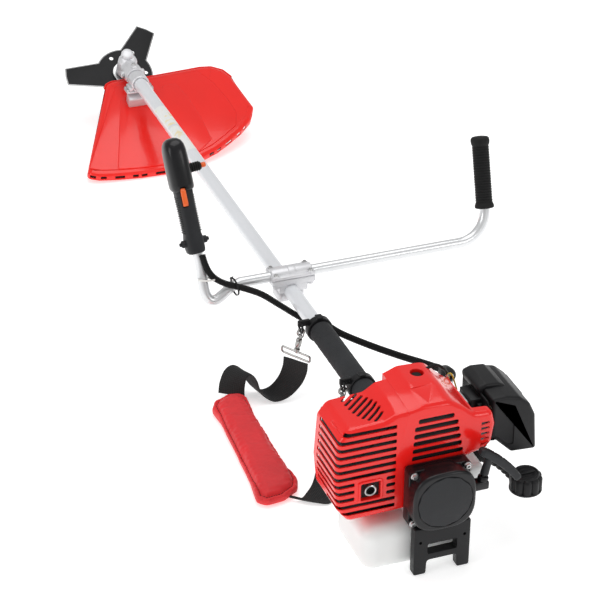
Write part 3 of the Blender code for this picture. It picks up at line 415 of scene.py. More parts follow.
CHROME = hard_finish("chrome", (0.36, 0.355, 0.345), 0.16, metallic=1.0, grain=300, depth=0.03,
                     drift=0.92)
BLADE_BLACK = hard_finish("blade_black", (0.008, 0.008, 0.009), 0.5, metallic=0.0, grain=700,
                          depth=0.12, drift=1.7, specular=0.25)
GROUND_EDGE = hard_finish("ground_edge", (0.35, 0.35, 0.35), 0.34, metallic=0.9, grain=1500,
                          depth=0.3, drift=0.8)
ORANGE = hard_finish("orange_plastic", (0.86, 0.13, 0.015), 0.32, grain=600, depth=0.04,
                     drift=0.9)
TANK_WHITE = hard_finish("tank_white", (0.84, 0.85, 0.84), 0.33, grain=260, depth=0.05,
                         drift=0.96, subsurface=0.5)
TIE_WHITE = hard_finish("tie_white", (0.8, 0.79, 0.76), 0.4, grain=600, depth=0.05, drift=0.92)
FELT = hard_finish("filter_felt", (0.6, 0.54, 0.4), 0.95, grain=1300, depth=0.8, drift=0.7)
WIRE_RED = hard_finish("wire_red", (0.6, 0.02, 0.02), 0.4, grain=600, depth=0.05)
WIRE_YELLOW = hard_finish("wire_yellow", (0.7, 0.45, 0.03), 0.4, grain=600, depth=0.05)
WEBBING = cloth_finish("webbing", (0.016, 0.016, 0.017), (0.003, 0.003, 0.003), 95.0, 0.9, 0.1)
PAD_CLOTH = cloth_finish("pad_cloth", (0.98, 0.035, 0.04), (0.8, 0.018, 0.025), 260.0, 0.25, 0.08,
                         roughness=0.62)
THREAD = cloth_finish("thread", (0.35, 0.01, 0.015), (0.1, 0.004, 0.005), 300.0, 0.3, 0.1)
ROPE = cloth_finish("rope", (0.6, 0.6, 0.57), (0.2, 0.2, 0.2), 160.0, 0.8, 0.1)
FLOOR = hard_finish("floor_white", (0.9, 0.9, 0.9), 0.6, grain=60, depth=0.01, drift=0.995,
                    rough_drift=0.02)
LABEL = hard_finish("label", (0.85, 0.86, 0.84), 0.35, grain=55, depth=0.0, drift=0.97,
                    speckle=(0.85, 0.62, 0.1))
floor_shader = FLOOR.node_tree.nodes["Principled BSDF"]
floor_shader.inputs["Emission Color"].default_value = (1.0, 1.0, 1.0, 1.0)
floor_shader.inputs["Emission Strength"].default_value = FLOOR_GLOW
floor.data.materials.append(FLOOR)
print(len(bpy.data.materials), "materials")

# %% [markdown]
# ## Tools
# Every piece is gathered in one bmesh from a few primitives: rounded boxes, turned profiles,
# swept tubes, lofts through rings, and plates cut to an outline.  Slots are cut with Booleans on
# the finished solid.


# %% Bench tools
def place_frame(origin=(0, 0, 0), axes=None):
    """A matrix that takes local mm to the world: origin in the machine frame, axes as columns."""
    turn = Matrix.Identity(4)
    if axes is not None:
        turn = Matrix([Vector(a).normalized() for a in axes]).transposed().to_4x4()
    return Matrix.Translation(at(origin)) @ turn @ Matrix.Scale(MM, 4)


def axis_frame(origin, axis):
    """A frame whose local Z runs along axis."""
    turn = UP.rotation_difference(Vector(axis).normalized()).to_matrix().to_4x4()
    return Matrix.Translation(at(origin)) @ turn @ Matrix.Scale(MM, 4)


PLAIN = place_frame()


def pour(target, source, matrix, slot=0):
    """Move a scratch bmesh into the piece being built."""
    source.transform(matrix)
    if matrix.determinant() < 0:
        bmesh.ops.reverse_faces(source, faces=source.faces)
    for face in source.faces:
        face.material_index = slot
    mesh = bpy.data.meshes.new("scratch")
    source.to_mesh(mesh)
    source.free()
    target.from_mesh(mesh)
    bpy.data.meshes.remove(mesh)


def add_box(bm, low, high, bevel=1.0, segments=3, matrix=PLAIN, slot=0):
    scratch = bmesh.new()
    bmesh.ops.create_cube(scratch, size=1.0)
    low, high = Vector(low), Vector(high)
    bmesh.ops.scale(scratch, vec=high - low, verts=scratch.verts)
    bmesh.ops.translate(scratch, vec=(low + high) / 2, verts=scratch.verts)
    if bevel:
        bmesh.ops.bevel(scratch, geom=list(scratch.edges), offset=bevel, segments=segments,
                        profile=0.5, affect="EDGES", clamp_overlap=True)
    pour(bm, scratch, matrix, slot)


def add_turned(bm, profile, matrix, sides=48, slot=0):
    """Turn (radius, height) points about local Z; a radius of 0 closes the end."""
    scratch = bmesh.new()
    rings = []
    for radius, height in profile:
        if radius < 1e-6:
            rings.append([scratch.verts.new((0, 0, height))])
        else:
            rings.append([scratch.verts.new((radius * math.cos(a), radius * math.sin(a), height))
                          for a in (2 * math.pi * k / sides for k in range(sides))])
    for lower, upper in zip(rings, rings[1:]):
        skin(scratch, lower, upper)
    bmesh.ops.recalc_face_normals(scratch, faces=scratch.faces)
    pour(bm, scratch, matrix, slot)


def skin(bm, lower, upper, closed=True):
    """Faces between two rings of vertices; either may be a single point."""
    count = max(len(lower), len(upper))
    for k in range(count if closed else count - 1):
        nxt = (k + 1) % count
        if len(lower) == 1 and len(upper) == 1:
            continue
        if len(lower) == 1:
            bm.faces.new((lower[0], upper[nxt], upper[k]))
        elif len(upper) == 1:
            bm.faces.new((lower[k], lower[nxt], upper[0]))
        else:
            bm.faces.new((lower[k], lower[nxt], upper[nxt], upper[k]))


def rounded_ends(radius, start, end, soft, steps=4):
    """A profile for a turned bar from start to end, its two rims rounded by soft."""
    turn = [(math.sin(a), 1 - math.cos(a))
            for a in (math.pi / 2 * k / steps for k in range(steps + 1))]
    lower = [(radius - soft + soft * s, start + soft * c) for s, c in turn]
    upper = [(radius - soft + soft * s, end - soft * c) for s, c in reversed(turn)]
    return [(0.0, start)] + lower + upper + [(0.0, end)]


def add_bar(bm, start, end, radius, soft=1.0, sides=48, slot=0):
    """A round bar between two machine-frame points."""
    start, end = Vector(start), Vector(end)
    profile = rounded_ends(radius, 0.0, (end - start).length, min(soft, radius * 0.9))
    add_turned(bm, profile, axis_frame(start, end - start), sides, slot)


def add_ring(bm, inner, outer, start, end, matrix, soft=0.8, sides=64, slot=0):
    """A tube about local Z with its four rims rounded."""
    profile = []
    for corner, (r, h) in enumerate(((outer, start), (outer, end), (inner, end), (inner, start))):
        sr = -1 if r == outer else 1
        sh = 1 if h == start else -1
        first, last = ((0, sh), (sr, 0)) if corner in (1, 3) else ((sr, 0), (0, sh))
        for a, b in (first, last):
            profile.append((r + a * soft, h + b * soft))
    add_turned(bm, profile + profile[:1], matrix, sides, slot)


def smooth_path(points, step):
    """Points every step mm or so on a smooth curve through the given ones."""
    path = [Vector(p) for p in points]
    ends = [path[0] * 2 - path[1]] + path + [path[-1] * 2 - path[-2]]
    out = []
    for before, a, b, after in zip(ends, ends[1:], ends[2:], ends[3:]):
        count = max(1, round((b - a).length / step))
        for k in range(count):
            t = k / count
            out.append(0.5 * (2 * a + (b - before) * t
                              + (2 * before - 5 * a + 4 * b - after) * t * t
                              + (3 * a - before - 3 * b + after) * t * t * t))
    return out + [path[-1]]


def path_frames(path, first_side, closed=False):
    """(point, side, face) along a path, turned as little as possible."""
    frames = []
    side = Vector(first_side)
    count = len(path)
    for k, point in enumerate(path):
        ahead = path[(k + 1) % count] if closed else path[min(k + 1, count - 1)]
        behind = path[k - 1] if closed else path[max(k - 1, 0)]
        direction = (ahead - behind).normalized()
        side = (side - direction * side.dot(direction)).normalized()
        frames.append((point, side, direction.cross(side)))
    return frames


def add_sweep(bm, path, section, first_side=UP, closed=False, matrix=PLAIN, slot=0, scales=None):
    """A section of (side, face) points swept along a path, closed at its ends."""
    scratch = bmesh.new()
    rings = []
    for k, (point, side, face) in enumerate(path_frames(path, first_side, closed)):
        size = scales[k] if scales else 1.0
        rings.append([scratch.verts.new(point + (side * a + face * b) * size)
                      for a, b in section])
    for lower, upper in zip(rings, rings[1:] + (rings[:1] if closed else [])):
        skin(scratch, lower, upper)
    if not closed:
        scratch.faces.new(rings[0][::-1])
        scratch.faces.new(rings[-1])
    bmesh.ops.recalc_face_normals(scratch, faces=scratch.faces)
    pour(bm, scratch, matrix, slot)


def circle(radius, sides=24):
    return [(radius * math.cos(a), radius * math.sin(a))
            for a in (2 * math.pi * k / sides for k in range(sides))]


def add_tube(bm, points, radius, step=4.0, sides=24, closed=False, slot=0, first_side=UP,
             smooth=True):
    path = smooth_path(points, step) if smooth else [Vector(p) for p in points]
    add_sweep(bm, path, circle(radius, sides), first_side, closed, slot=slot)


def rounded(outline, radius, steps=5):
    """A closed outline with every corner rounded; radius may be a list, one for each corner."""
    out = []
    count = len(outline)
    for k in range(count):
        here = Vector(outline[k])
        before = Vector(outline[k - 1]) - here
        after = Vector(outline[(k + 1) % count]) - here
        reach = radius[k] if isinstance(radius, (list, tuple)) else radius
        half = before.angle(after) / 2
        trim = min(reach / math.tan(half), before.length * 0.48, after.length * 0.48)
        a = here + before.normalized() * trim
        b = here + after.normalized() * trim
        for step in range(steps + 1):
            t = step / steps
            out.append(tuple(a * (1 - t) ** 2 + here * (2 * t * (1 - t)) + b * t ** 2))
    return out


def inset(outline, amount):
    """Every corner of a counter-clockwise outline moved inwards by amount."""
    out = []
    for before, here, after in zip(outline[-1:] + outline, outline, outline[1:] + outline[:1]):
        a = (Vector(here) - Vector(before)).normalized()
        b = (Vector(after) - Vector(here)).normalized()
        normal = Vector((-a.y - b.y, a.x + b.x)) / max(0.3, 1 + a.dot(b))
        out.append(tuple(Vector(here) + normal * amount))
    return out


def shrunk(outline, radii, amount, steps=7):
    """An outline inset first and rounded after, so that its soft corners stay parallel."""
    shape = inset(outline, amount)
    softer = []
    for k, radius in enumerate(radii):
        here = Vector(outline[k])
        before = here - Vector(outline[k - 1])
        after = Vector(outline[(k + 1) % len(outline)]) - here
        convex = before.x * after.y - before.y * after.x > 0
        softer.append(max(0.4, radius - amount) if convex else radius + amount)
    return rounded(shape, softer, steps)


def area_of(outline):
    return sum(a[0] * b[1] - b[0] * a[1]
               for a, b in zip(outline, outline[1:] + outline[:1])) / 2


def anticlockwise(outline):
    return list(outline) if area_of(outline) > 0 else list(outline)[::-1]


def add_loft(bm, rings, matrix=PLAIN, slot=0, caps=(True, True)):
    """A skin through rings of machine-frame points, with flat caps."""
    scratch = bmesh.new()
    rows = [[scratch.verts.new(p) for p in ring] for ring in rings]
    for lower, upper in zip(rows, rows[1:]):
        skin(scratch, lower, upper)
    if caps[0]:
        scratch.faces.new(rows[0][::-1])
    if caps[1]:
        scratch.faces.new(rows[-1])
    bmesh.ops.recalc_face_normals(scratch, faces=scratch.faces)
    pour(bm, scratch, matrix, slot)


def add_plate(bm, outline, bottom, top, soft=0.6, matrix=PLAIN, slot=0, steps=3):
    """An outline in local XY made solid between two heights, with rounded rims."""
    outline = anticlockwise(outline)
    rings = []
    for k in range(steps + 1):
        a = math.pi / 2 * k / steps
        shape = inset(outline, soft * (1 - math.sin(a)))
        rings.append([(x, y, bottom + soft * (1 - math.cos(a))) for x, y in shape])
    for k in range(steps + 1):
        a = math.pi / 2 * (1 - k / steps)
        shape = inset(outline, soft * (1 - math.sin(a)))
        rings.append([(x, y, top - soft * (1 - math.cos(a))) for x, y in shape])
    add_loft(bm, rings, matrix, slot)


def piece(name, bm, materials, angle=38.0):
    """Make the object: smooth with sharp edges, materials in order; its normals are as the bmesh gave them.
    """
    mesh = bpy.data.meshes.new(name)
    bm.to_mesh(mesh)
    bm.free()
    mesh.shade_smooth()
    mesh.set_sharp_from_angle(angle=math.radians(angle))
    for material in materials if isinstance(materials, (list, tuple)) else [materials]:
        mesh.materials.append(material)
    obj = bpy.data.objects.new(name, mesh)
    bpy.context.scene.collection.objects.link(obj)
    return obj


def apply_modifiers(obj):
    """Bake an object's modifiers into its mesh."""
    bpy.context.view_layer.update()
    evaluated = obj.evaluated_get(bpy.context.evaluated_depsgraph_get())
    mesh = bpy.data.meshes.new_from_object(evaluated)
    obj.modifiers.clear()
    old = obj.data
    obj.data = mesh
    bpy.data.meshes.remove(old)
    mesh.name = obj.name
    return obj


def cut(obj, cutter_bm, bevel=0.0):
    """Cut a closed bmesh out of a piece."""
    cutter = piece(obj.name + "_cutter", cutter_bm, obj.data.materials[0])
    modifier = obj.modifiers.new("Cut", "BOOLEAN")
    modifier.operation = "DIFFERENCE"
    modifier.solver = "MANIFOLD"
    modifier.object = cutter
    if bevel:
        soften = obj.modifiers.new("Bevel", "BEVEL")
        soften.width = bevel * MM
        soften.segments = 2
        soften.limit_method = "ANGLE"
        soften.angle_limit = math.radians(50)
    apply_modifiers(obj)
    bpy.data.objects.remove(cutter)
    obj.data.shade_smooth()
    obj.data.set_sharp_from_angle(angle=math.radians(38))
    return obj


def stand_for(obj, slot, *names):
    """Let a finished piece ride where its CAD nodes ride, and show in their place."""
    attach(obj, NODES[names[0]]["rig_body"])
    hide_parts(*names)
    return obj


def go_with(obj, body="root"):
    """A small added piece, such as a screw, that stands for no node of its own."""
    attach(obj, body)
    return obj


print("tools ready")

# %% [markdown]
# ## Repeats
# Screws, stitches and corrugations repeat, so two Geometry Nodes trees make them: one puts a
# copy at each point of a mesh, turned to that point's axis; the other walks a curve and puts a
# copy every so many millimetres.


# %% Geometry Nodes trees
def new_tree(name, inputs):
    tree = bpy.data.node_groups.new(name, "GeometryNodeTree")
    tree.interface.new_socket("Geometry", in_out="INPUT", socket_type="NodeSocketGeometry")
    for label, kind in inputs:
        tree.interface.new_socket(label, in_out="INPUT", socket_type=kind)
    tree.interface.new_socket("Geometry", in_out="OUTPUT", socket_type="NodeSocketGeometry")
    return tree, tree.nodes.new("NodeGroupInput"), tree.nodes.new("NodeGroupOutput")


def finish_tree(tree, start, end, instances):
    realize = tree.nodes.new("GeometryNodeRealizeInstances")
    paint = tree.nodes.new("GeometryNodeSetMaterial")
    join_sockets(tree, (instances, realize.inputs["Geometry"]),
                 (realize.outputs["Geometry"], paint.inputs["Geometry"]),
                 (start.outputs["Material"], paint.inputs["Material"]),
                 (paint.outputs["Geometry"], end.inputs["Geometry"]))
    return tree


def make_copies_at_points():
    """Put Piece at each vertex, its Z along the vertex's axis attribute, spun a little by Seed."""
    tree, start, end = new_tree("copies_at_points", [("Piece", "NodeSocketObject"),
                                                     ("Spin", "NodeSocketFloat"),
                                                     ("Seed", "NodeSocketInt"),
                                                     ("Material", "NodeSocketMaterial")])
    axis = tree.nodes.new("GeometryNodeInputNamedAttribute")
    axis.data_type = "FLOAT_VECTOR"
    axis.inputs["Name"].default_value = "axis"
    align = tree.nodes.new("FunctionNodeAlignRotationToVector")
    align.axis = "Z"
    spin = tree.nodes.new("FunctionNodeRandomValue")
    spin.data_type = "FLOAT"
    around = tree.nodes.new("FunctionNodeAxisAngleToRotation")
    around.inputs["Axis"].default_value = (0, 0, 1)
    rotate = tree.nodes.new("FunctionNodeRotateRotation")
    rotate.rotation_space = "LOCAL"
    info = tree.nodes.new("GeometryNodeObjectInfo")
    info.inputs["As Instance"].default_value = True
    place = tree.nodes.new("GeometryNodeInstanceOnPoints")
    random_max = [s for s in spin.inputs if s.name == "Max" and s.type == "VALUE"][0]
    random_out = [s for s in spin.outputs if s.type == "VALUE"][0]
    join_sockets(tree, (start.outputs["Geometry"], place.inputs["Points"]),
                 (start.outputs["Piece"], info.inputs["Object"]),
                 (info.outputs["Geometry"], place.inputs["Instance"]),
                 (axis.outputs["Attribute"], align.inputs["Vector"]),
                 (start.outputs["Spin"], random_max),
                 (start.outputs["Seed"], spin.inputs["Seed"]),
                 (random_out, around.inputs["Angle"]),
                 (align.outputs["Rotation"], rotate.inputs["Rotation"]),
                 (around.outputs["Rotation"], rotate.inputs["Rotate By"]),
                 (rotate.outputs["Rotation"], place.inputs["Rotation"]))
    return finish_tree(tree, start, end, place.outputs["Instances"])


def make_copies_along_curve():
    """Put Piece every Spacing metres along a curve, its X along the curve."""
    tree, start, end = new_tree("copies_along_curve", [("Piece", "NodeSocketObject"),
                                                       ("Spacing", "NodeSocketFloat"),
                                                       ("Material", "NodeSocketMaterial")])
    walk = tree.nodes.new("GeometryNodeCurveToPoints")
    walk.mode = "LENGTH"
    info = tree.nodes.new("GeometryNodeObjectInfo")
    info.inputs["As Instance"].default_value = True
    place = tree.nodes.new("GeometryNodeInstanceOnPoints")
    align = tree.nodes.new("FunctionNodeAlignRotationToVector")
    align.axis = "X"
    join_sockets(tree, (start.outputs["Geometry"], walk.inputs["Curve"]),
                 (start.outputs["Spacing"], walk.inputs["Length"]),
                 (walk.outputs["Points"], place.inputs["Points"]),
                 (start.outputs["Piece"], info.inputs["Object"]),
                 (info.outputs["Geometry"], place.inputs["Instance"]),
                 (walk.outputs["Tangent"], align.inputs["Vector"]),
                 (align.outputs["Rotation"], place.inputs["Rotation"]))
    return finish_tree(tree, start, end, place.outputs["Instances"])


COPIES_AT_POINTS = make_copies_at_points()
COPIES_ALONG_CURVE = make_copies_along_curve()


def run_tree(obj, tree, values, name):
    """Give an object a tree with its inputs set, and return what it makes as a new piece."""
    modifier = obj.modifiers.new("Copies", "NODES")
    modifier.node_group = tree
    named = {item.name: item.identifier for item in tree.interface.items_tree
             if item.in_out == "INPUT"}
    for label, value in values.items():
        modifier[named[label]] = value
    bpy.context.view_layer.update()
    evaluated = obj.evaluated_get(bpy.context.evaluated_depsgraph_get())
    mesh = bpy.data.meshes.new_from_object(evaluated)
    mesh.name = name
    made = bpy.data.objects.new(name, mesh)
    bpy.context.scene.collection.objects.link(made)
    bpy.data.objects.remove(obj)
    return made


def copies_at(name, pattern, places, material, spin=6.28, seed=3):
    """One piece made of a pattern repeated at (point, axis) places in the machine frame."""
    mesh = bpy.data.meshes.new(name + "_points")
    mesh.from_pydata([at(p) for p, _ in places], [], [])
    axis = mesh.attributes.new("axis", "FLOAT_VECTOR", "POINT")
    for item, (_, direction) in zip(axis.data, places):
        item.vector = Vector(direction).normalized()
    points = bpy.data.objects.new(name + "_points", mesh)
    bpy.context.scene.collection.objects.link(points)
    values = {"Piece": pattern, "Spin": spin, "Seed": seed, "Material": material}
    return run_tree(points, COPIES_AT_POINTS, values, name)


def copies_along(name, pattern, path, spacing, material, closed=False):
    """One piece made of a pattern repeated along a path of machine-frame points."""
    data = bpy.data.curves.new(name + "_path", "CURVE")
    data.dimensions = "3D"
    spline = data.splines.new("POLY")
    spline.points.add(len(path) - 1)
    for point, co in zip(spline.points, path):
        point.co = (*at(co), 1)
    spline.use_cyclic_u = closed
    curve = bpy.data.objects.new(name + "_path", data)
    bpy.context.scene.collection.objects.link(curve)
    values = {"Piece": pattern, "Spacing": spacing * MM, "Material": material}
    return run_tree(curve, COPIES_ALONG_CURVE, values, name)


PATTERNS = []


def pattern(name, bm, material):
    """A part to be repeated, kept out of sight round its own origin."""
    obj = piece(name, bm, material)
    obj.data.transform(Matrix.Translation(-ORIGIN))
    obj.hide_render = True
    PATTERNS.append(obj)
    return obj


def flange_screw(radius):
    """A round screw head on a washer, with a hexagon socket."""
    bm = bmesh.new()
    profile = [(0, 0), (radius * 1.35, 0), (radius * 1.35, radius * 0.16), (radius * 1.02,
               radius * 0.3), (radius, radius * 0.4), (radius, radius * 0.95),
               (radius * 0.86, radius * 1.1), (radius * 0.52, radius * 1.1)]
    add_turned(bm, profile, PLAIN, 32)
    socket = [(radius * 0.52, radius * 1.1), (radius * 0.46, radius * 1.02),
              (radius * 0.4, radius * 0.5), (0, radius * 0.45)]
    add_turned(bm, socket, PLAIN, 6)
    return pattern("flange_screw", bm, STEEL)


SCREW_5 = flange_screw(4.4)
SCREW_4 = flange_screw(3.4)
print("trees:", COPIES_AT_POINTS.name, COPIES_ALONG_CURVE.name)

# %% [markdown]
# ## Shaft, foam sleeve and hangers
# The shaft is a drawn aluminium tube with silver enamel.  A split foam sleeve protects the user's
# hip, and two moulded clamps carry the steel loops that the strap snaps on to.

# %% Shaft
SHAFT_RADIUS = 14.0
SHAFT_START, SHAFT_END = 236.0, 1637.0
SLEEVE_START, SLEEVE_END = 266.0, 532.0
FRONT_HANGER_Y, REAR_HANGER_Y = 541.0, 346.0
LUG_X = 33.0
RING_Z = 8.0
RING_RADIUS = 8.5


def make_shaft():
    bm = bmesh.new()
    add_ring(bm, SHAFT_RADIUS - 1.6, SHAFT_RADIUS, SHAFT_START, SHAFT_END,
             axis_frame((0, 0, 0), FORWARD), soft=0.5, sides=64)
    stand_for(piece("shaft", bm, ENAMEL), "silver_tube", "shaft_tube")
    bm = bmesh.new()
    profile = [(14.3, SLEEVE_START), (18.6, SLEEVE_START), (19.8, SLEEVE_START + 1.5)]
    for k in range(40):
        height = SLEEVE_START + 4 + (SLEEVE_END - SLEEVE_START - 8) * k / 39
        profile.append((19.85 + 0.15 * math.sin(k * 1.9), height))
    profile += [(19.8, SLEEVE_END - 1.5), (18.6, SLEEVE_END), (14.3, SLEEVE_END)]
    add_turned(bm, profile + profile[:1], axis_frame((0, 0, 0), FORWARD), 64)
    stand_for(piece("sleeve", bm, FOAM), "foam", "foam_sleeve")
    print("shaft", SHAFT_END - SHAFT_START, "mm long")


def make_hanger(end, y, inner, outer):
    """A clamp band with a screwed lug on top left, and the steel loop in its eye."""
    bm = bmesh.new()
    add_ring(bm, inner, outer, y - 7, y + 7, axis_frame((0, 0, 0), FORWARD), soft=1.2)
    add_box(bm, (-LUG_X - 6, y - 3, 11), (-outer + 6, y + 3, 23), 2.0)
    add_box(bm, (-6, y - 7, outer - 3), (6, y + 7, outer + 2.5), 1.4)
    stand_for(piece(end + "_clamp", bm, MATT_BLACK), "black_plastic", end + "_hanger")
    bm = bmesh.new()
    loop = [(-LUG_X, y + RING_RADIUS * math.sin(a), RING_Z + RING_RADIUS * math.cos(a))
            for a in (2 * math.pi * k / 40 for k in range(40))]
    add_tube(bm, loop, 2.0, sides=16, closed=True, first_side=RIGHT, smooth=False)
    stand_for(piece(end + "_loop", bm, MATT_BLACK), "chrome", end + "_hanger_ring")


def make_label(name, start, end):
    """A thin printed sleeve on the upper side of the shaft, with made-up pictogram patches."""
    bm = bmesh.new()
    reach = SHAFT_RADIUS + 0.12
    angles = [math.radians(20 + 7 * k) for k in range(21)]
    rows = []
    for y in (start, end):
        rows.append([bm.verts.new(at((reach * math.cos(a), y, reach * math.sin(a))))
                     for a in angles])
    for k in range(len(angles) - 1):
        bm.faces.new((rows[0][k], rows[0][k + 1], rows[1][k + 1], rows[1][k]))
    bmesh.ops.recalc_face_normals(bm, faces=bm.faces)
    if bm.faces[0].normal.dot(bm.faces[0].calc_center_median() - at((0, start, 0))) < 0:
        bmesh.ops.reverse_faces(bm, faces=bm.faces)
    return go_with(piece(name, bm, LABEL))


make_shaft()
make_label("label_far", 1352.0, 1440.0)
make_label("label_near", 1236.0, 1344.0)
make_hanger("front", FRONT_HANGER_Y, 14.3, 23.0)
make_hanger("rear", REAR_HANGER_Y, 20.3, 24.0)

# %% [markdown]
# ## Handlebar and clamp
# One bent tube is held on top of the shaft by a cast clamp in two halves and four bolts.  The
# risers and grips lean forward; on the left the tube dips before it turns up into the throttle
# grip.

# %% Handlebar
BAR_RADIUS = 9.5
BAR_Y, BAR_Z = 693.0, 26.0
BAR_LEAN = math.radians(20)
BAR_UP = Vector((0, math.sin(BAR_LEAN), math.cos(BAR_LEAN)))
LEFT_RISER, LEFT_TOP = (-158.0, 50.0), (-170.0, 108.0)
BEND_RADIUS = 56.0
RIGHT_RISER, RIGHT_TOP = (385.0, BEND_RADIUS), (389.0, 180.0)
CLAMP_LEFT, CLAMP_RIGHT = -36.0, 44.0


def bar_point(x, rise):
    """A point of the handlebar's leaning plane."""
    return Vector((x, BAR_Y + BAR_UP.y * rise, BAR_Z + BAR_UP.z * rise))


def make_handlebar():
    left = [LEFT_TOP, LEFT_RISER, (-157, 14), (-155, -8), (-149, -20), (-138, -23), (-124, -16),
            (-108, -6), (-90, 0)]
    start = smooth_path([bar_point(*p) for p in left], 4.0)
    middle = [bar_point(x, 0) for x in range(-80, 330, 12)]
    centre = (RIGHT_RISER[0] - BEND_RADIUS, BEND_RADIUS)
    bend = [bar_point(centre[0] + BEND_RADIUS * math.sin(a), centre[1] - BEND_RADIUS * math.cos(a))
            for a in (math.pi / 2 * k / 18 for k in range(19))]
    path = start + middle + bend + [bar_point(*RIGHT_TOP)]
    bm = bmesh.new()
    add_tube(bm, path, BAR_RADIUS, sides=40, smooth=False)
    stand_for(piece("handlebar_tube", bm, BAR_SILVER), "silver_tube", "handlebar")
    length = sum((b - a).length for a, b in zip(path, path[1:]))
    print("handlebar tube", round(length), "mm along its middle")


def make_clamp():
    middle = (CLAMP_LEFT + CLAMP_RIGHT) / 2
    low = BAR_Z - 0.4
    bm = bmesh.new()
    add_box(bm, (-25, BAR_Y - 19, -21), (25, BAR_Y + 19, 2), 8, 5)
    add_box(bm, (-23, BAR_Y - 18, -2), (31, BAR_Y + 18, low), 3)
    add_box(bm, (CLAMP_LEFT, BAR_Y - 21, BAR_Z - 12), (CLAMP_RIGHT, BAR_Y + 21, low), 2.5)
    for x in (CLAMP_LEFT + 8, CLAMP_RIGHT - 8):
        for y in (BAR_Y - 14, BAR_Y + 14):
            add_bar(bm, (x, y, BAR_Z - 17), (x, y, low - 1), 6.5, 1.5, 32)
    stand_for(piece("clamp_block", bm, CAST), "cast_alloy", "handlebar_clamp_block")
    bm = bmesh.new()
    high = BAR_Z + 0.4
    add_box(bm, (CLAMP_LEFT, BAR_Y - 21, high), (CLAMP_RIGHT, BAR_Y + 21, BAR_Z + 7), 2)
    crown = [(15.0 * math.cos(a), 14.0 * math.sin(a)) for a in
             (math.pi * k / 16 for k in range(17))]
    frame_x = place_frame((middle, BAR_Y, high), ((0, 1, 0), (0, 0, 1), (1, 0, 0)))
    reach = (CLAMP_RIGHT - CLAMP_LEFT) / 2
    add_plate(bm, crown, -reach + 2, reach - 2, 2.0, frame_x)
    add_plate(bm, [(x * 1.08, z * 1.08) for x, z in crown], -7, 7, 1.5, frame_x)
    for x in (CLAMP_LEFT + 8, CLAMP_RIGHT - 8):
        for y in (BAR_Y - 15, BAR_Y + 15):
            add_bar(bm, (x, y, BAR_Z + 3), (x, y, BAR_Z + 8.5), 7.0, 1.2, 32)
    stand_for(piece("clamp_cap", bm, CAST), "cast_alloy", "handlebar_clamp_cap")
    places = [((x, y, BAR_Z + 8.3), UP) for x in (CLAMP_LEFT + 8, CLAMP_RIGHT - 8)
              for y in (BAR_Y - 15, BAR_Y + 15)]
    go_with(copies_at("clamp_bolts", SCREW_4, places, STEEL, seed=5))
    print(len(places), "clamp bolts")


def make_plain_grip():
    """A moulded rubber grip with close rings between two plain collars."""
    base, top = bar_point(*RIGHT_RISER), bar_point(*RIGHT_TOP)
    reach = (top - base).length
    profile = [(9.6, 0), (16.5, 0), (17.5, 1), (17.5, 5), (16.5, 7), (15.2, 11)]
    rings = 21
    for k in range(rings):
        height = 14 + (reach - 28) * k / (rings - 1)
        profile += [(14.4, height - 1.9), (15.5, height - 1.1), (15.5, height + 1.1),
                    (14.4, height + 1.9)]
    profile += [(15.2, reach - 10), (16.6, reach - 7), (17.2, reach - 2), (16.6, reach + 2.5),
                (14.0, reach + 5), (9.0, reach + 6), (0, reach + 6)]
    bm = bmesh.new()
    add_turned(bm, profile, axis_frame(base, top - base), 56)
    stand_for(piece("right_grip", bm, RUBBER), "rubber", "plain_grip")


make_handlebar()
make_clamp()
make_plain_grip()

# %% [markdown]
# ## Throttle grip
# Two moulded halves screwed together round the left riser: a slim handle under a broader head.
# The trigger sits on the front, the lock-out lever in a dark recess on the palm side, and the
# stop switch on a stub at the right.

# %% Throttle grip
GRIP_AXIS = Vector((-0.09, 0.34, 0.936)).normalized()
GRIP_SIDE = (RIGHT - GRIP_AXIS * GRIP_AXIS.x).normalized()
GRIP_FRONT = GRIP_AXIS.cross(GRIP_SIDE)
GRIP_BASE = bar_point(-162.5, 66.0)
GRIP = place_frame(GRIP_BASE, (GRIP_SIDE, GRIP_FRONT, GRIP_AXIS))


def squared_ring(side, back, front, up, power=3.2, count=56, offset=0.0):
    """A squarish ring across the grip: side half width, back and front limits."""
    middle, half = (front + back) / 2, (front - back) / 2
    ring = []
    for k in range(count):
        a = 2 * math.pi * k / count
        c, s = math.cos(a), math.sin(a)
        ring.append((offset + side * math.copysign(abs(c) ** (2 / power), c),
                     middle + half * math.copysign(abs(s) ** (2 / power), s), up))
    return ring


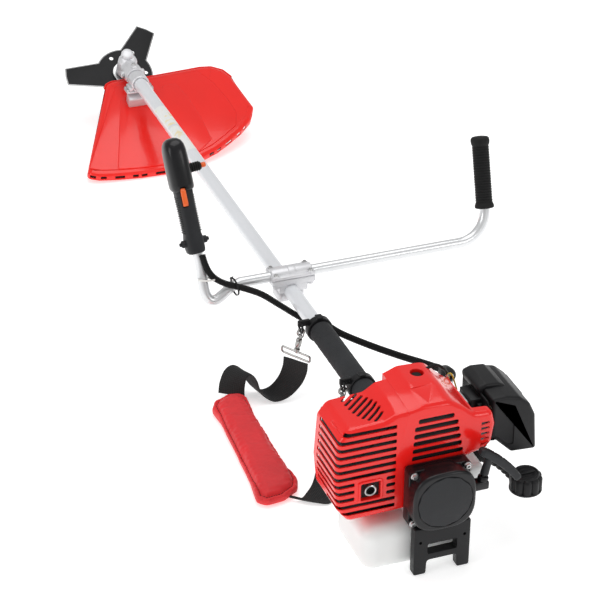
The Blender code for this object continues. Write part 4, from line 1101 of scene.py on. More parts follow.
def make_throttle_grip():
    handle = [(0, 13.5, -14, 13), (2, 15.5, -17, 15), (8, 16.5, -18, 16.5), (26, 16.5, -18.5, 16.5),
              (34, 15.0, -17, 15), (60, 14.6, -17.5, 15), (90, 15.0, -18.0, 16), (112, 16.0, -18.5, 17),
              (116, 15.0, -17.5, 16)]
    bm = bmesh.new()
    add_loft(bm, [squared_ring(s, b, f, u) for u, s, b, f in handle], GRIP)
    head = [(112, 15, -17, 17), (113.5, 18.5, -21, 21), (117, 20.2, -23.5, 25), (124, 20.5, -24, 26),
            (150, 20.5, -24, 26), (170, 20.3, -23.8, 25.8), (184, 19.6, -22.5, 24.5),
            (193, 17.8, -19.8, 21.8), (199, 14.5, -15.5, 17.5), (202.6, 9.5, -9.5, 11.5),
            (204, 4.0, -3.5, 5.5)]
    add_loft(bm, [squared_ring(s, b, f, u, 2.7) for u, s, b, f in head], GRIP, slot=1)
    ears = axis_frame(GRIP_BASE + GRIP_AXIS * 20 + GRIP_FRONT * -3 - GRIP_SIDE * 23, GRIP_SIDE)
    add_turned(bm, rounded_ends(6.5, 0, 46, 1.5), ears, 32)
    grip = piece("grip_shell", bm, [PLATE_BLACK, GLOSS_BLACK])
    tools = bmesh.new()
    add_box(tools, (-6, -9, 76), (6, 60, 138), 1.5, matrix=GRIP)
    cut(grip, tools)
    tools = bmesh.new()
    add_box(tools, (-9.9, -60, 84.5), (-0.2, -14.5, 121.5), 2.0, matrix=GRIP)
    cut(grip, tools)
    stand_for(grip, "black_plastic", "throttle_grip")

    bm = bmesh.new()
    stub = axis_frame(GRIP_BASE + GRIP_AXIS * 146 + GRIP_FRONT * 2 + GRIP_SIDE * 14, GRIP_SIDE)
    profile = [(0, 0), (11, 0), (11, 7), (9.5, 8)]
    for k in range(4):
        profile += [(7.2, 9.5 + 4 * k), (8.4, 10.5 + 4 * k), (8.4, 12 + 4 * k), (7.2, 13 + 4 * k)]
    profile += [(6.4, 27), (5.0, 27), (5.0, 20), (0, 20)]
    add_turned(bm, profile, stub, 32)
    go_with(piece("switch_boot", bm, RUBBER))
    for side in (-1, 1):
        bm = bmesh.new()
        for k in range(16):
            up = 38 + 4.2 * k
            add_box(bm, (side * 15.2 - 0.7, -11, up), (side * 15.2 + 0.7, 9, up + 1.7), 0.5,
                    2, GRIP)
        go_with(piece("grip_ribs_" + ("left" if side < 0 else "right"), bm, RUBBER))
    places = []
    for up, front in ((20, -3), (132, -14), (186, 2)):
        for side in (-1, 1):
            reach = 23 if up == 20 else (20.2 if up == 132 else 19.0)
            spot = GRIP_BASE + GRIP_AXIS * up + GRIP_FRONT * front + GRIP_SIDE * side * reach
            places.append((spot, GRIP_SIDE * side))
    go_with(copies_at("grip_screws", SCREW_4, places[:2], MATT_BLACK))

    bm = bmesh.new()
    side_view = [(3, 84), (3, 130), (12, 131), (24, 128), (29, 122), (28, 112), (20, 104), (17, 96),
                 (19, 88), (14, 83)]
    frame_side = place_frame(GRIP_BASE, (GRIP_FRONT, GRIP_AXIS, GRIP_SIDE))
    add_plate(bm, rounded(side_view, 4), -4.6, 4.6, 1.6, frame_side)
    stand_for(piece("trigger_blade", bm, ORANGE), "orange_plastic", "throttle_trigger")
    bm = bmesh.new()
    lever = [(-17, 87), (-17, 119), (-21, 119), (-24, 114), (-24, 92), (-21, 87)]
    frame_lever = place_frame(GRIP_BASE + GRIP_SIDE * -5, (GRIP_FRONT, GRIP_AXIS, GRIP_SIDE))
    add_plate(bm, rounded(lever, 1.6), -4.3, 4.3, 1.2, frame_lever)
    stand_for(piece("lockout_paddle", bm, ORANGE), "orange_plastic", "lockout_lever")
    bm = bmesh.new()
    button = axis_frame(GRIP_BASE + GRIP_AXIS * 146 + GRIP_FRONT * 2 + GRIP_SIDE * 30.5, GRIP_SIDE)
    add_turned(bm, [(0, 0), (4.2, 0), (4.2, 12), (4.6, 13), (4.6, 18), (3.6, 19.4), (0, 19.5)],
               button, 32)
    stand_for(piece("stop_button", bm, ORANGE), "orange_plastic", "stop_switch")
    print("throttle grip with", len(places), "screw places")


make_throttle_grip()

# %% [markdown]
# ## Throttle conduit
# The cable and the switch wires run inside one split corrugated conduit, tied to the handlebar
# and held loosely along the shaft before it drops to the engine.  The corrugations are rings
# copied along the route every 2.6 mm.

# %% Conduit
CONDUIT_ROUTE = [(-156, 700, 89), (-153, 693, 73), (-148, 689, 60), (-138, 686, 47),
                 (-120, 678, 37), (-88, 669, 26), (-60, 661, 13), (-31, 646, -7), (0, 620, -24),
                 (24, 586, -19), (41, 540, -18), (70, 480, -13), (98, 420, -4), (116, 360, 13),
                 (121, 316, 29), (119, 284, 42)]
BOOT_END = Vector((100, 222, 74))


def corrugation():
    bm = bmesh.new()
    turn = Matrix.Rotation(math.pi / 2, 4, "Y")
    profile = [(4.6, -0.9), (5.9, -0.55), (6.0, 0.0), (5.9, 0.55), (4.6, 0.9)]
    add_turned(bm, profile + profile[:1], PLAIN @ turn, 24)
    return pattern("corrugation", bm, RUBBER)


def make_conduit():
    path = smooth_path(CONDUIT_ROUTE, 3.0)
    rings = copies_along("conduit_rings", corrugation(), path, 2.6, RUBBER)
    rings.data.shade_smooth()
    bm = bmesh.new()
    add_tube(bm, path, 4.9, sides=20, smooth=False)
    core = piece("conduit", bm, RUBBER)
    stand_for(core, "conduit_plastic", "throttle_conduit")
    go_with(rings)
    last = Vector(CONDUIT_ROUTE[-1])
    length = (BOOT_END - last).length
    profile = [(6.2, 0), (8.6, 0), (9.0, 4), (10.2, 5), (10.2, 9), (9.2, 10), (11.6, 17),
               (12.2, length - 12), (9, length - 4), (6, length), (0, length)]
    bm = bmesh.new()
    add_turned(bm, profile, axis_frame(last, BOOT_END - last), 40)
    stand_for(piece("cable_boot", bm, RUBBER), "rubber", "conduit_boot")
    run = sum((b - a).length for a, b in zip(path, path[1:]))
    print("conduit", round(run), "mm,", len(rings.data.vertices), "vertices of corrugation")


def make_tie(name, point, axis, size, material, tail):
    """A cable tie: a flat band with a square lock and its cut tail."""
    axis = Vector(axis).normalized()
    path = [Vector(point) + side for side in
            (Matrix.Rotation(a, 3, axis) @ (axis.orthogonal().normalized() * size)
             for a in (2 * math.pi * k / 36 for k in range(36)))]
    section = [(-1.6, -0.5), (1.6, -0.5), (1.6, 0.5), (-1.6, 0.5)]
    bm = bmesh.new()
    add_sweep(bm, path, section, axis, True)
    turn = Matrix(((path[0] - Vector(point)).normalized(),
                   axis.cross(path[0] - Vector(point)).normalized(), axis))
    lock = place_frame(path[0], (turn[0], turn[1], turn[2]))
    add_box(bm, (-1, -2.6, -2.6), (3, 2.6, 2.6), 0.6, matrix=lock)
    add_box(bm, (0.5, 2, -1.5), (1.5, 2 + tail, 1.5), 0.3, matrix=lock)
    return go_with(piece(name, bm, material))


make_conduit()
make_tie("tie_bar", (-104, 680, 27), (1, 0.1, 0.1), 15.5, MATT_BLACK, 8)
make_tie("tie_riser", (-152, 690, 46), (0.1, 0.3, 0.9), 15.0, TIE_WHITE, 16)

# %% [markdown]
# ## Gear head, blade and guard
# A bevel gear case turns the drive 33 degrees forward of straight down.  The three-tooth steel
# blade is clamped under it between an adapter and a cup, and the moulded guard hangs from a
# bracket a little further up the shaft.

# %% Gear head
HEAD_ANGLE = math.radians(33)
HEAD_Y = 1675.0
OUTPUT_AXIS = Vector((0, math.sin(HEAD_ANGLE), -math.cos(HEAD_ANGLE)))
HEAD_FORWARD = Vector((0, math.cos(HEAD_ANGLE), math.sin(HEAD_ANGLE)))
BLADE_DROP = 35.0
BLADE_RADIUS, BLADE_HUB = 127.5, 61.0


def head_point(x, forward, down):
    return Vector((x, HEAD_Y, 0)) + HEAD_FORWARD * forward + OUTPUT_AXIS * down


def make_gear_head():
    bm = bmesh.new()
    add_turned(bm, [(14.4, HEAD_Y - 60), (18.5, HEAD_Y - 60), (19.5, HEAD_Y - 59),
                    (19.5, HEAD_Y - 44), (20.6, HEAD_Y - 42), (20.6, HEAD_Y - 30),
                    (19.0, HEAD_Y - 27), (19.5, HEAD_Y - 20), (19.0, HEAD_Y - 8), (16, HEAD_Y + 6),
                    (13, HEAD_Y + 12), (0, HEAD_Y + 13)],
               axis_frame((0, 0, 0), FORWARD), 56)
    tower = axis_frame(head_point(0, 4, 0), OUTPUT_AXIS)
    add_turned(bm, [(0, -22), (12, -22), (17.5, -19), (20, -14), (20, 8), (19.2, 10), (20, 12),
                    (20, 21), (19, 22), (7, 22)], tower, 56)
    knob = axis_frame(head_point(0, 14, -18), OUTPUT_AXIS)
    add_turned(bm, [(0, -12), (8, -12), (11.5, -10.5), (12.5, -7.5), (12.5, -1), (11.6, 0),
                    (12.5, 1), (12.5, 10)], knob, 40)
    add_box(bm, (-26, HEAD_Y - 43, -7), (26, HEAD_Y - 31, 7), 4, 4)
    add_box(bm, (-5, HEAD_Y - 58, 14), (5, HEAD_Y - 34, 24), 3, 4)
    stand_for(piece("gear_head", bm, CAST), "cast_alloy", "gear_case")
    places = [((-21, HEAD_Y - 43, 0), -FORWARD), ((21, HEAD_Y - 43, 0), -FORWARD),
              ((0, HEAD_Y - 46, 23.4), UP), (head_point(13, 18, -19.5), -OUTPUT_AXIS)]
    go_with(copies_at("head_screws", SCREW_4, places, STEEL))


def blade_outline():
    """Three broad teeth that narrow towards their tips, joined by the hub."""
    points = []
    for tooth in range(3):
        middle = math.radians(174) - tooth * 2 * math.pi / 3
        for offset, radius in ((30, BLADE_HUB), (9.4, BLADE_RADIUS), (0, BLADE_RADIUS),
                               (-9.4, BLADE_RADIUS), (-30, BLADE_HUB)):
            angle = middle + math.radians(offset)
            points.append((radius * math.cos(angle), radius * math.sin(angle)))
        for step in range(1, 10):
            angle = middle - math.radians(30 + 60 * step / 10)
            points.append((BLADE_HUB * math.cos(angle), BLADE_HUB * math.sin(angle)))
    return anticlockwise(points)


def make_blade():
    bm = bmesh.new()
    level = place_frame(head_point(0, 4, BLADE_DROP), (RIGHT, HEAD_FORWARD,
                                                       RIGHT.cross(HEAD_FORWARD)))
    outline = blade_outline()
    edge = inset(outline, 2.4)
    outer = [(x, y, -0.25) for x, y in outline], [(x, y, 0.25) for x, y in outline]
    add_loft(bm, [[(x, y, -1.0) for x, y in edge], outer[0], outer[1],
                  [(x, y, 1.0) for x, y in edge]], level)
    for face in bm.faces:
        face.material_index = 1 if len(face.verts) == 4 else 0
    obj = piece("blade_disc", bm, [BLADE_BLACK, GROUND_EDGE], angle=8)
    holes = bmesh.new()
    add_turned(holes, [(0, -5), (12.7, -5), (12.7, 5), (0, 5)], level, 48)
    cut(obj, holes)
    holes = bmesh.new()
    for k in range(3):
        angle = math.radians(114 + 120 * k)
        spot = Matrix.Translation(Vector((46 * math.cos(angle), 46 * math.sin(angle), 0)))
        add_turned(holes, [(0, -5), (4.5, -5), (4.5, 5), (0, 5)], level @ spot, 24)
    cut(obj, holes)
    stand_for(obj, "blade_steel", "blade")
    foot = axis_frame(head_point(0, 4, 0), OUTPUT_AXIS)
    under = BLADE_DROP + 1.0
    bm = bmesh.new()
    add_ring(bm, 6.3, 26, 28, BLADE_DROP - 1.4, foot, 0.8)
    stand_for(piece("adapter", bm, STEEL), "steel", "blade_adapter")
    bm = bmesh.new()
    add_turned(bm, [(6.3, under + 0.4), (24, under + 0.4), (25, under + 1.2), (24.4, under + 2.4),
                    (14, under + 5.5), (6.3, under + 5.5), (6.3, under + 0.4)], foot, 56)
    stand_for(piece("cup", bm, STEEL), "steel", "blade_cup")
    bm = bmesh.new()
    add_turned(bm, [(6.3, under + 5.8), (9.6, under + 5.8), (10.5, under + 6.6),
                    (10.5, under + 12.2), (9.4, under + 13), (6.3, under + 13),
                    (6.3, under + 5.8)], foot, 6)
    stand_for(piece("nut", bm, STEEL), "steel", "blade_nut")
    print("blade", 2 * BLADE_RADIUS, "mm across")


make_gear_head()
make_blade()

# %% [markdown]
# The guard is one thin moulding: a flat fan whose outer edge rolls down into a rim.  Two broad
# raised steps stiffen the fan, and slots run through the rim over a dark strip of painted shade
# that keeps them dark.  Its wall is built from one outside skin, which Solidify then thickens inwards.

# %% Guard
GUARD_TILT = math.radians(21)
GUARD_TOP = Vector((0.0, 1694.0, -12.0))
GUARD_BACK = Vector((0, -math.cos(GUARD_TILT), -math.sin(GUARD_TILT)))
GUARD_DOWN = RIGHT.cross(GUARD_BACK)
GUARD = place_frame(GUARD_TOP, (RIGHT, GUARD_BACK, GUARD_DOWN))
GUARD_FRONT = [(-58, 48), (-52, 36), (-38, 30), (44, 32), (159, 27), (183, 30), (205, 44),
               (217, 66), (229, 126), (237, 164)]
GUARD_REAR = [(218, 199), (190, 224), (157, 246), (123, 266), (87, 280), (45, 294), (3, 300),
              (-50, 299), (-100, 294), (-137, 288), (-162, 277)]
BRACKET_Y = 1594.0
GUARD_RIM = 17.0
GUARD_WALL = 2.4


def rim_depth(x, y):
    """How far the rolled edge hangs down: full along the back, shallow along the front."""
    angle = math.degrees(math.atan2(y - 60, x - 20))
    if 20 <= angle <= 130:
        return GUARD_RIM
    away = min(abs(angle - 20), abs(angle - 130))
    return max(6.0, GUARD_RIM - away * 0.6)


def make_guard():
    outline = anticlockwise(rounded(GUARD_FRONT + GUARD_REAR, 12, 4))
    rings = []
    for amount, share, drop in ((13, 0, 0.0), (9, 0, 0.4), (5, 0, 1.8), (2.2, 0, 4.0),
                                (0.8, 0, 6.5), (0.2, 0.55, 6), (0.0, 1.0, 0)):
        shape = inset(outline, amount)
        rings.append([(x, y, -1.5 + drop + share * (rim_depth(*o) - 1.5 - (drop if share else 0)))
                      for (x, y), o in zip(shape, outline)])
    bm = bmesh.new()
    add_loft(bm, rings, GUARD, caps=(True, False))
    obj = piece("guard_moulding", bm, GUARD_RED, angle=60)
    solid = obj.modifiers.new("Solidify", "SOLIDIFY")
    solid.thickness = GUARD_WALL * MM
    solid.offset = -1.0
    apply_modifiers(obj)
    down = (obj.data.vertices[0].co - at(GUARD_TOP)).dot(GUARD_DOWN)
    tools = bmesh.new()
    total = 0
    for degrees, half in ((-28, 6), (-24, 6), (-18, 10), (-12, 6), (-8.5, 6), (-2, 10), (5, 6),
                          (9, 6), (15.5, 10), (22, 6), (26, 6), (32, 10), (38.5, 6), (43, 6),
                          (50, 9), (58, 6)):
        angle = math.radians(degrees)
        reach = edge_distance(outline, angle)
        turn = Matrix.Rotation(-angle, 4, "Z")
        where = Matrix.Translation(Vector((reach * math.sin(angle), reach * math.cos(angle), 7.2)))
        add_box(tools, (-half, -6, -3.4), (half, 6, 3.4), 0.8, 2, GUARD @ where @ turn)
        total += 1
    cut(obj, tools)
    stand_for(obj, "red_plastic", "guard")
    bm = bmesh.new()
    edge = [(x * 0.95, y - 13) for x, y in GUARD_REAR]
    broad = [(-42, 62), (-34, 48), (44, 46), (148, 41), (170, 78), (186, 130), (193, 175)] + edge[1:]
    add_plate(bm, rounded(broad, 5, 3), -2.9, -1.0, 1.5, GUARD)
    middle = [(-40, 100), (-38, 94), (-14, 92), (-12, 84), (58, 78), (62, 70), (92, 70), (106, 120),
              (115, 180), (118, 240)] + [e for e in edge[4:] if e[0] > -96] + [(-96, 276)]
    add_plate(bm, rounded(middle, 4, 3), -4.6, -1.0, 1.5, GUARD)
    go_with(piece("guard_panels", bm, GUARD_RED))
    # A dark rubber strip just inside the rear rim, painted shade that keeps the rim slots dark.
    bm = bmesh.new()
    shade_strip_path = [(x * 0.975, y - 5.0, 8.6) for x, y in GUARD_REAR]
    path = [GUARD @ Vector(p) for p in smooth_path(shade_strip_path, 8)]
    path = [(p - ORIGIN) / MM for p in path]
    add_sweep(bm, path, [(-4.6, -0.6), (4.6, -0.6), (4.6, 0.6), (-4.6, 0.6)], GUARD_DOWN)
    go_with(piece("guard_lining", bm, RUBBER))
    print("guard with", total, "rim slots; plate", round(down / MM, 1), "mm from its datum")


def edge_distance(outline, angle):
    """How far the outline lies from the guard's datum in one direction, behind it."""
    direction = Vector((math.sin(angle), math.cos(angle)))
    best = max(outline, key=lambda p: Vector(p).normalized().dot(direction)
               if Vector(p).dot(direction) > 0 else -1)
    return Vector(best).dot(direction)


def make_bracket():
    """Two halves screwed round the shaft, standing on a foot that is screwed to the guard."""
    reach = (GUARD_TOP.y - BRACKET_Y) / math.cos(GUARD_TILT)
    bm = bmesh.new()
    add_ring(bm, 14.3, 19, BRACKET_Y - 15, BRACKET_Y + 15, axis_frame((0, 0, 0), FORWARD), 1.5)
    add_box(bm, (-29, BRACKET_Y - 13, -20), (29, BRACKET_Y + 13, -14.5), 2.2)
    add_box(bm, (-24, BRACKET_Y - 13, -14.2), (-15, BRACKET_Y + 13, -6), 2.2)
    add_box(bm, (15, BRACKET_Y - 13, -14.2), (24, BRACKET_Y + 13, -6), 2.2)
    add_box(bm, (-26, reach - 11, -26), (26, reach + 11, -1.8), 2.2, matrix=GUARD)
    stand_for(piece("bracket", bm, CAST), "cast_alloy", "guard_bracket")
    places = [((x, BRACKET_Y + y, -14.3), UP) for x in (-25.5, 25.5) for y in (-7, 7)]
    go_with(copies_at("bracket_screws", SCREW_4, places, STEEL))


make_guard()
make_bracket()

# %% [markdown]
# ## Engine
# A small two-stroke: crankcase, finned cylinder, muffler and carburettor.  Most of it is only
# glimpsed through the slots of the covers, so those pieces keep the CAD node's shape, welded and
# with their edges broken, and get the finish of their metal.

# %% Inner pieces
def refined(name, node, material, slot, bevel=0.8):
    """A cleaned copy of a CAD node: welded, flat faces joined, edges broken."""
    bm = bmesh.new()
    bm.from_mesh(NODES[node].data)
    bmesh.ops.remove_doubles(bm, verts=bm.verts, dist=0.00003)
    bmesh.ops.dissolve_limit(bm, angle_limit=math.radians(2), verts=bm.verts, edges=bm.edges)
    for face in bm.faces:
        face.material_index = 0
    obj = piece(name, bm, material)
    if bevel:
        soften = obj.modifiers.new("Bevel", "BEVEL")
        soften.width = bevel * MM
        soften.segments = 3
        soften.limit_method = "ANGLE"
        soften.angle_limit = math.radians(35)
        soften.use_clamp_overlap = True
        apply_modifiers(obj)
        obj.data.shade_smooth()
        obj.data.set_sharp_from_angle(angle=math.radians(38))
    return stand_for(obj, slot, node)


def make_inner_pieces():
    table = [("drive", "drive_shaft", STEEL, "steel", 0.3),
             ("pinion", "input_pinion", STEEL, "steel", 0.3),
             ("gear", "output_gear", STEEL, "steel", 0.3),
             ("crank", "crankshaft", STEEL, "steel", 0.4),
             ("wheel", "flywheel", CAST, "cast_alloy", 0.8),
             ("shoes", "clutch_shoes", STEEL, "steel", 0.6),
             ("drum", "clutch_drum", STEEL, "steel", 0.4),
             ("pulley", "starter_pulley", MATT_BLACK, "black_plastic", 0.5),
             ("piston_body", "piston", CAST, "cast_alloy", 0.5),
             ("case", "crankcase", CAST, "cast_alloy", 1.5),
             ("barrel", "cylinder", CAST, "cast_alloy", 0.5),
             ("plug", "spark_plug", STEEL, "steel", 0.3),
             ("silencer", "muffler", DARK_STEEL, "steel", 1.5),
             ("carb_body", "carburettor", CAST, "cast_alloy", 1.0),
             ("carb_arm", "carb_throttle_arm", STEEL, "steel", 0.4),
             ("filter_base", "air_filter_base", MATT_BLACK, "black_plastic", 1.0),
             ("choke", "choke_lever", MATT_BLACK, "black_plastic", 0.6),
             ("element", "air_filter_element", FELT, "filter_felt", 1.2),
             ("primer", "primer_bulb", RUBBER, "rubber", 0.8)]
    for name, node, material, slot, bevel in table:
        refined(name, node, material, slot, bevel)
    print(len(table), "inner pieces refined")


def make_clutch_housing():
    bm = bmesh.new()
    profile = [(42, 166.3), (55, 166.3), (56, 167.5), (56, 204), (54, 208), (48, 211), (28, 223),
               (27, 227), (25, 258), (23.5, 262), (14.4, 262), (14.4, 238), (17, 222), (42, 206)]
    add_turned(bm, profile + profile[:1], axis_frame((0, 0, 0), FORWARD), 72)
    for k in range(8):
        turn = Matrix.Rotation(math.pi / 4 * k, 4, "Y")
        rib = place_frame((0, 0, 0)) @ turn
        add_plate(bm, [(25, 258), (55.5, 206), (40, 206), (24, 224)], -1.3, 1.3, 0.5,
                  rib @ Matrix(((1, 0, 0, 0), (0, 1, 0, 0), (0, 0, 1, 0), (0, 0, 0, 1))))
    stand_for(piece("clutch_bell", bm, MATT_BLACK), "black_plastic", "clutch_housing")
    bm = bmesh.new()
    add_turned(bm, [(0, 137), (9, 137), (9, 149), (7.5, 153), (5, 154), (0, 154)],
               axis_frame((0, 129.5, 0), UP), 32)
    stand_for(piece("plug_boot", bm, RUBBER), "rubber", "plug_cap")


make_inner_pieces()
make_clutch_housing()

# %% [markdown]
# ## Red covers
# Two gloss mouldings share the engine's back: the muffler cover on the left, full of louvres that
# wrap round its corner, and the cylinder cover on the right with the fan's wide slots.  Each is a
# shell lofted from its outline with a soft rear edge, thickened, then cut with rounded slots.  A
# dark sheet inside each is painted shade: it keeps the slots dark instead of letting daylight show through.

# %% Red covers
COVER_BACK = 48.0
COVER_WALL = 2.4
MUFFLER_END, CYLINDER_END = 140.0, 156.0
SEAM = -45.2
MUFFLER_OUTLINE = [(-45.2, -34), (-45.2, 149), (-64, 147), (-84, 134), (-143, 131), (-158, 112),
                   (-163, 40), (-158, -12), (-140, -36)]
CYLINDER_OUTLINE = [(-45.2, 40), (55, 40), (84, 47), (96, 57), (101, 90), (95, 115), (64, 117),
                    (44, 134), (22, 156), (-22, 158), (-45.2, 149)]


CROWN_START = 0.62
CROWN_FROM = 134
CROWN_FULL = 98
CROWN_RISE = 24
CROWN = (CROWN_START, CROWN_FROM, CROWN_FULL)
REARWARD_AXES = ((1, 0, 0), (0, 0, 1), (0, -1, 0))
BACKWARD = place_frame((0, 0, 0), REARWARD_AXES)
COVER_REAR = place_frame((0, COVER_BACK, 0), REARWARD_AXES)


def slope_back(z, y, start, rise_from, full_at):
    """Lower the top of a section near the back, so the crown slopes up towards the shaft."""
    if z <= rise_from:
        return z
    share = min(1.0, (y - COVER_BACK) / (full_at - COVER_BACK))
    return rise_from + (z - rise_from) * (start + (1 - start) * share)


def cover_shell(name, outline, radii, end, start, rise_from, full_at, soft=9.0):
    """A thin shell with a closed, soft-edged back at COVER_BACK and an open front."""
    if area_of(outline) < 0:
        outline, radii = outline[::-1], radii[::-1]
    stations = [(COVER_BACK + soft * (1 - math.cos(a)), soft * (1 - math.sin(a)))
                for a in (math.pi / 2 * k / 6 for k in range(7))]
    stations += [(COVER_BACK + soft + (end - COVER_BACK - soft) * k / 9, 0.0) for k in range(1, 10)]
    rings = []
    for y, amount in stations:
        section = shrunk(outline, radii, amount)
        section = [(SEAM if abs(x - SEAM) < amount + 1.0 else x, z) for x, z in section]
        rings.append([(x, y, slope_back(z, y, start, rise_from, full_at)) for x, z in section])
    bm = bmesh.new()
    add_loft(bm, rings, caps=(True, False))
    obj = piece(name, bm, GLOSS_RED, angle=50)
    solid = obj.modifiers.new("Solidify", "SOLIDIFY")
    solid.thickness = COVER_WALL * MM
    solid.offset = -1.0
    return apply_modifiers(obj)


def add_slot(bm, low, high, radius, matrix=PLAIN):
    """A slot cutter: a rounded bar between two corners."""
    add_box(bm, low, high, radius, 3, matrix)


TOP_VENT_REACH = (15, 19, 22, 24, 24, 23, 19, 13)


def make_muffler_cover():
    radii = [2, 1, 14, 18, 16, 14, 30, 16, 14]
    obj = cover_shell("left_cover", MUFFLER_OUTLINE, radii, MUFFLER_END, *CROWN)
    tools = bmesh.new()
    height, pitch, lowest = 6.8, 13.0, -20.0
    beside_outlet = (2, 3, 4)
    for k in range(12):
        z = lowest + pitch * k
        inner = -131 if k in beside_outlet else -64
        front = 128 - 34 * max(0, 2 - k) if k < 11 else 100
        wrap = [(inner, 38), (inner, 57), (-149, 57), (-149, front), (-182, front), (-182, 38)]
        add_plate(tools, rounded(wrap, [3, 2, 2, 5, 5, 5], 3), z - height / 2, z + height / 2, 1.6)
        if k in beside_outlet:
            add_slot(tools, (-79, 40, z - height / 2), (-64, 58, z + height / 2), 2.6)
    cut(obj, tools)
    tools = bmesh.new()
    add_box(tools, (-122, 40, 0), (-88, 62, 32), 3, 4)
    cut(obj, tools)
    tools = bmesh.new()
    for k in range(8):
        centre = Vector((-112 + 3.6 * k, 137 - 10 * k, 128))
        reach = TOP_VENT_REACH[k]
        turn = Matrix.Translation(centre) @ Matrix.Rotation(0.7, 4, "Z")
        add_box(tools, (-reach, -2.6, -14), (reach, 2.6, 14), 2.4, 3, PLAIN @ turn)
    cut(obj, tools)
    stand_for(obj, "red_plastic", "muffler_cover")

    bm = bmesh.new()
    frame_line = [(-125, -3), (-85, -3), (-85, 35), (-125, 35)]
    ring = rounded(frame_line, 5)
    hole = rounded([(-121, 1), (-89, 1), (-89, 31), (-121, 31)], 3)
    rows = [[(x, y, z) for x, y in anticlockwise(s)] for s, z in
            ((ring, -1.0), (ring, 1.4), (inset(anticlockwise(ring), 1.2), 2.4),
             (inset(anticlockwise(hole), -0.9), 2.4), (hole, 1.4), (hole, -6.0))]
    add_loft(bm, rows, COVER_REAR, caps=(False, False))
    go_with(piece("outlet_frame", bm, GLOSS_RED))
    bm = bmesh.new()
    outlet = axis_frame((-105, 47, 16), FORWARD)
    add_turned(bm, [(7.0, 0), (8.6, -0.8), (9.8, 0), (10, 3), (10, 12), (7.0, 12), (7.0, 0)],
               outlet, 40)
    go_with(piece("outlet_ring", bm, STEEL))
    print("left cover:", len(obj.data.polygons), "faces")


def make_cylinder_cover():
    radii = [2, 3, 8, 14, 14, 12, 16, 14, 26, 20, 2]
    obj = cover_shell("right_cover", CYLINDER_OUTLINE, radii, CYLINDER_END, *CROWN)
    tools = bmesh.new()
    add_box(tools, (66, 66, 20), (140, 200, 130), 2)
    cut(obj, tools)
    tools = bmesh.new()
    for k in range(6):
        z = 57 + 13.2 * k
        left, right = -38 + 0.8 * k, 47 - 2.4 * k
        inwards = 5 if k == 5 else 0
        add_slot(tools, (left + inwards, 30, z - 4.4), (right - inwards, 62, z + 4.4), 3.2)
    cut(obj, tools)
    tools = bmesh.new()
    for k in range(5):
        z = 58 + 9.5 * k
        wedge = [(76, z - 3), (90, z - 1), (90, z + 2.5), (76, z + 3)]
        add_plate(tools, rounded(wedge, 1.2), -12, 12, 0.4, COVER_REAR)
    cut(obj, tools)
    tools = bmesh.new()
    add_turned(tools, [(0, -20), (11, -20), (11, 20), (0, 20)], axis_frame((1, 129.5, 158), UP), 40)
    cut(obj, tools)
    slope = Vector((0, CROWN_FULL - COVER_BACK, (1 - CROWN_START) * CROWN_RISE)).normalized()
    crown = place_frame((0, COVER_BACK, CROWN_FROM + CROWN_START * CROWN_RISE),
                        (RIGHT, slope, RIGHT.cross(slope)))
    tools = bmesh.new()
    add_plate(tools, rounded([(-27, 45), (20, 47), (-11, 7)], 2.0), -1.6, 8, 0.3, crown)
    cut(obj, tools)
    stand_for(obj, "red_plastic", "cylinder_cover")
    bm = bmesh.new()
    add_turned(bm, [(10.8, -14), (15.5, -6), (15.2, -3), (13.6, -1.2), (11.6, -1.0), (10.8, -2),
                    (10.8, -14)], axis_frame((1, 129.5, 158), UP), 48)
    go_with(piece("plug_collar", bm, GLOSS_RED))
    print("right cover:", len(obj.data.polygons), "faces")


def make_shade_sheets():
    """Dark steel sheets a few millimetres inside the two covers, painted shade that keeps their slots dark.
    """
    for name, outline, end in (("left_baffle", MUFFLER_OUTLINE, MUFFLER_END - 1),
                               ("right_baffle", CYLINDER_OUTLINE, CYLINDER_END - 1)):
        shape = inset(anticlockwise(rounded(outline, 6, 4)), 8.0)
        if name == "right_baffle":
            shape = [(min(x, 63.0), z - 0.28 * max(0, z - 96)) for x, z in shape]
        rings = [[(x, y, z) for x, z in shape] for y in (COVER_BACK + 7.5, COVER_BACK + 8.5, end)]
        bm = bmesh.new()
        add_loft(bm, rings)
        go_with(piece(name, bm, DARK_STEEL))


make_muffler_cover()
make_cylinder_cover()
make_shade_sheets()

# %% [markdown]
# ## Recoil starter and stand
# The starter is a gloss black drum with a plain matt plate on its back, on a square flange with a
# screw at each corner.  Its rope leaves at the top right and ends in a flat textured bar.  Below
# it a black moulded stand with one wide window carries the machine when it is put down.

# %% Starter
ROPE_EXIT = Vector((70.0, 21.0, 15.0))
ROPE_AXIS = Vector((0.24, 0.0, 0.97)).normalized()
HANDLE_BAR = Vector((0.75, 0.0, -0.66)).normalized()
HANDLE_RISE = 41.0


STARTER_SCREWS = [(x, z) for x in (-44.0, 44.0) for z in (-44.0, 44.0)]


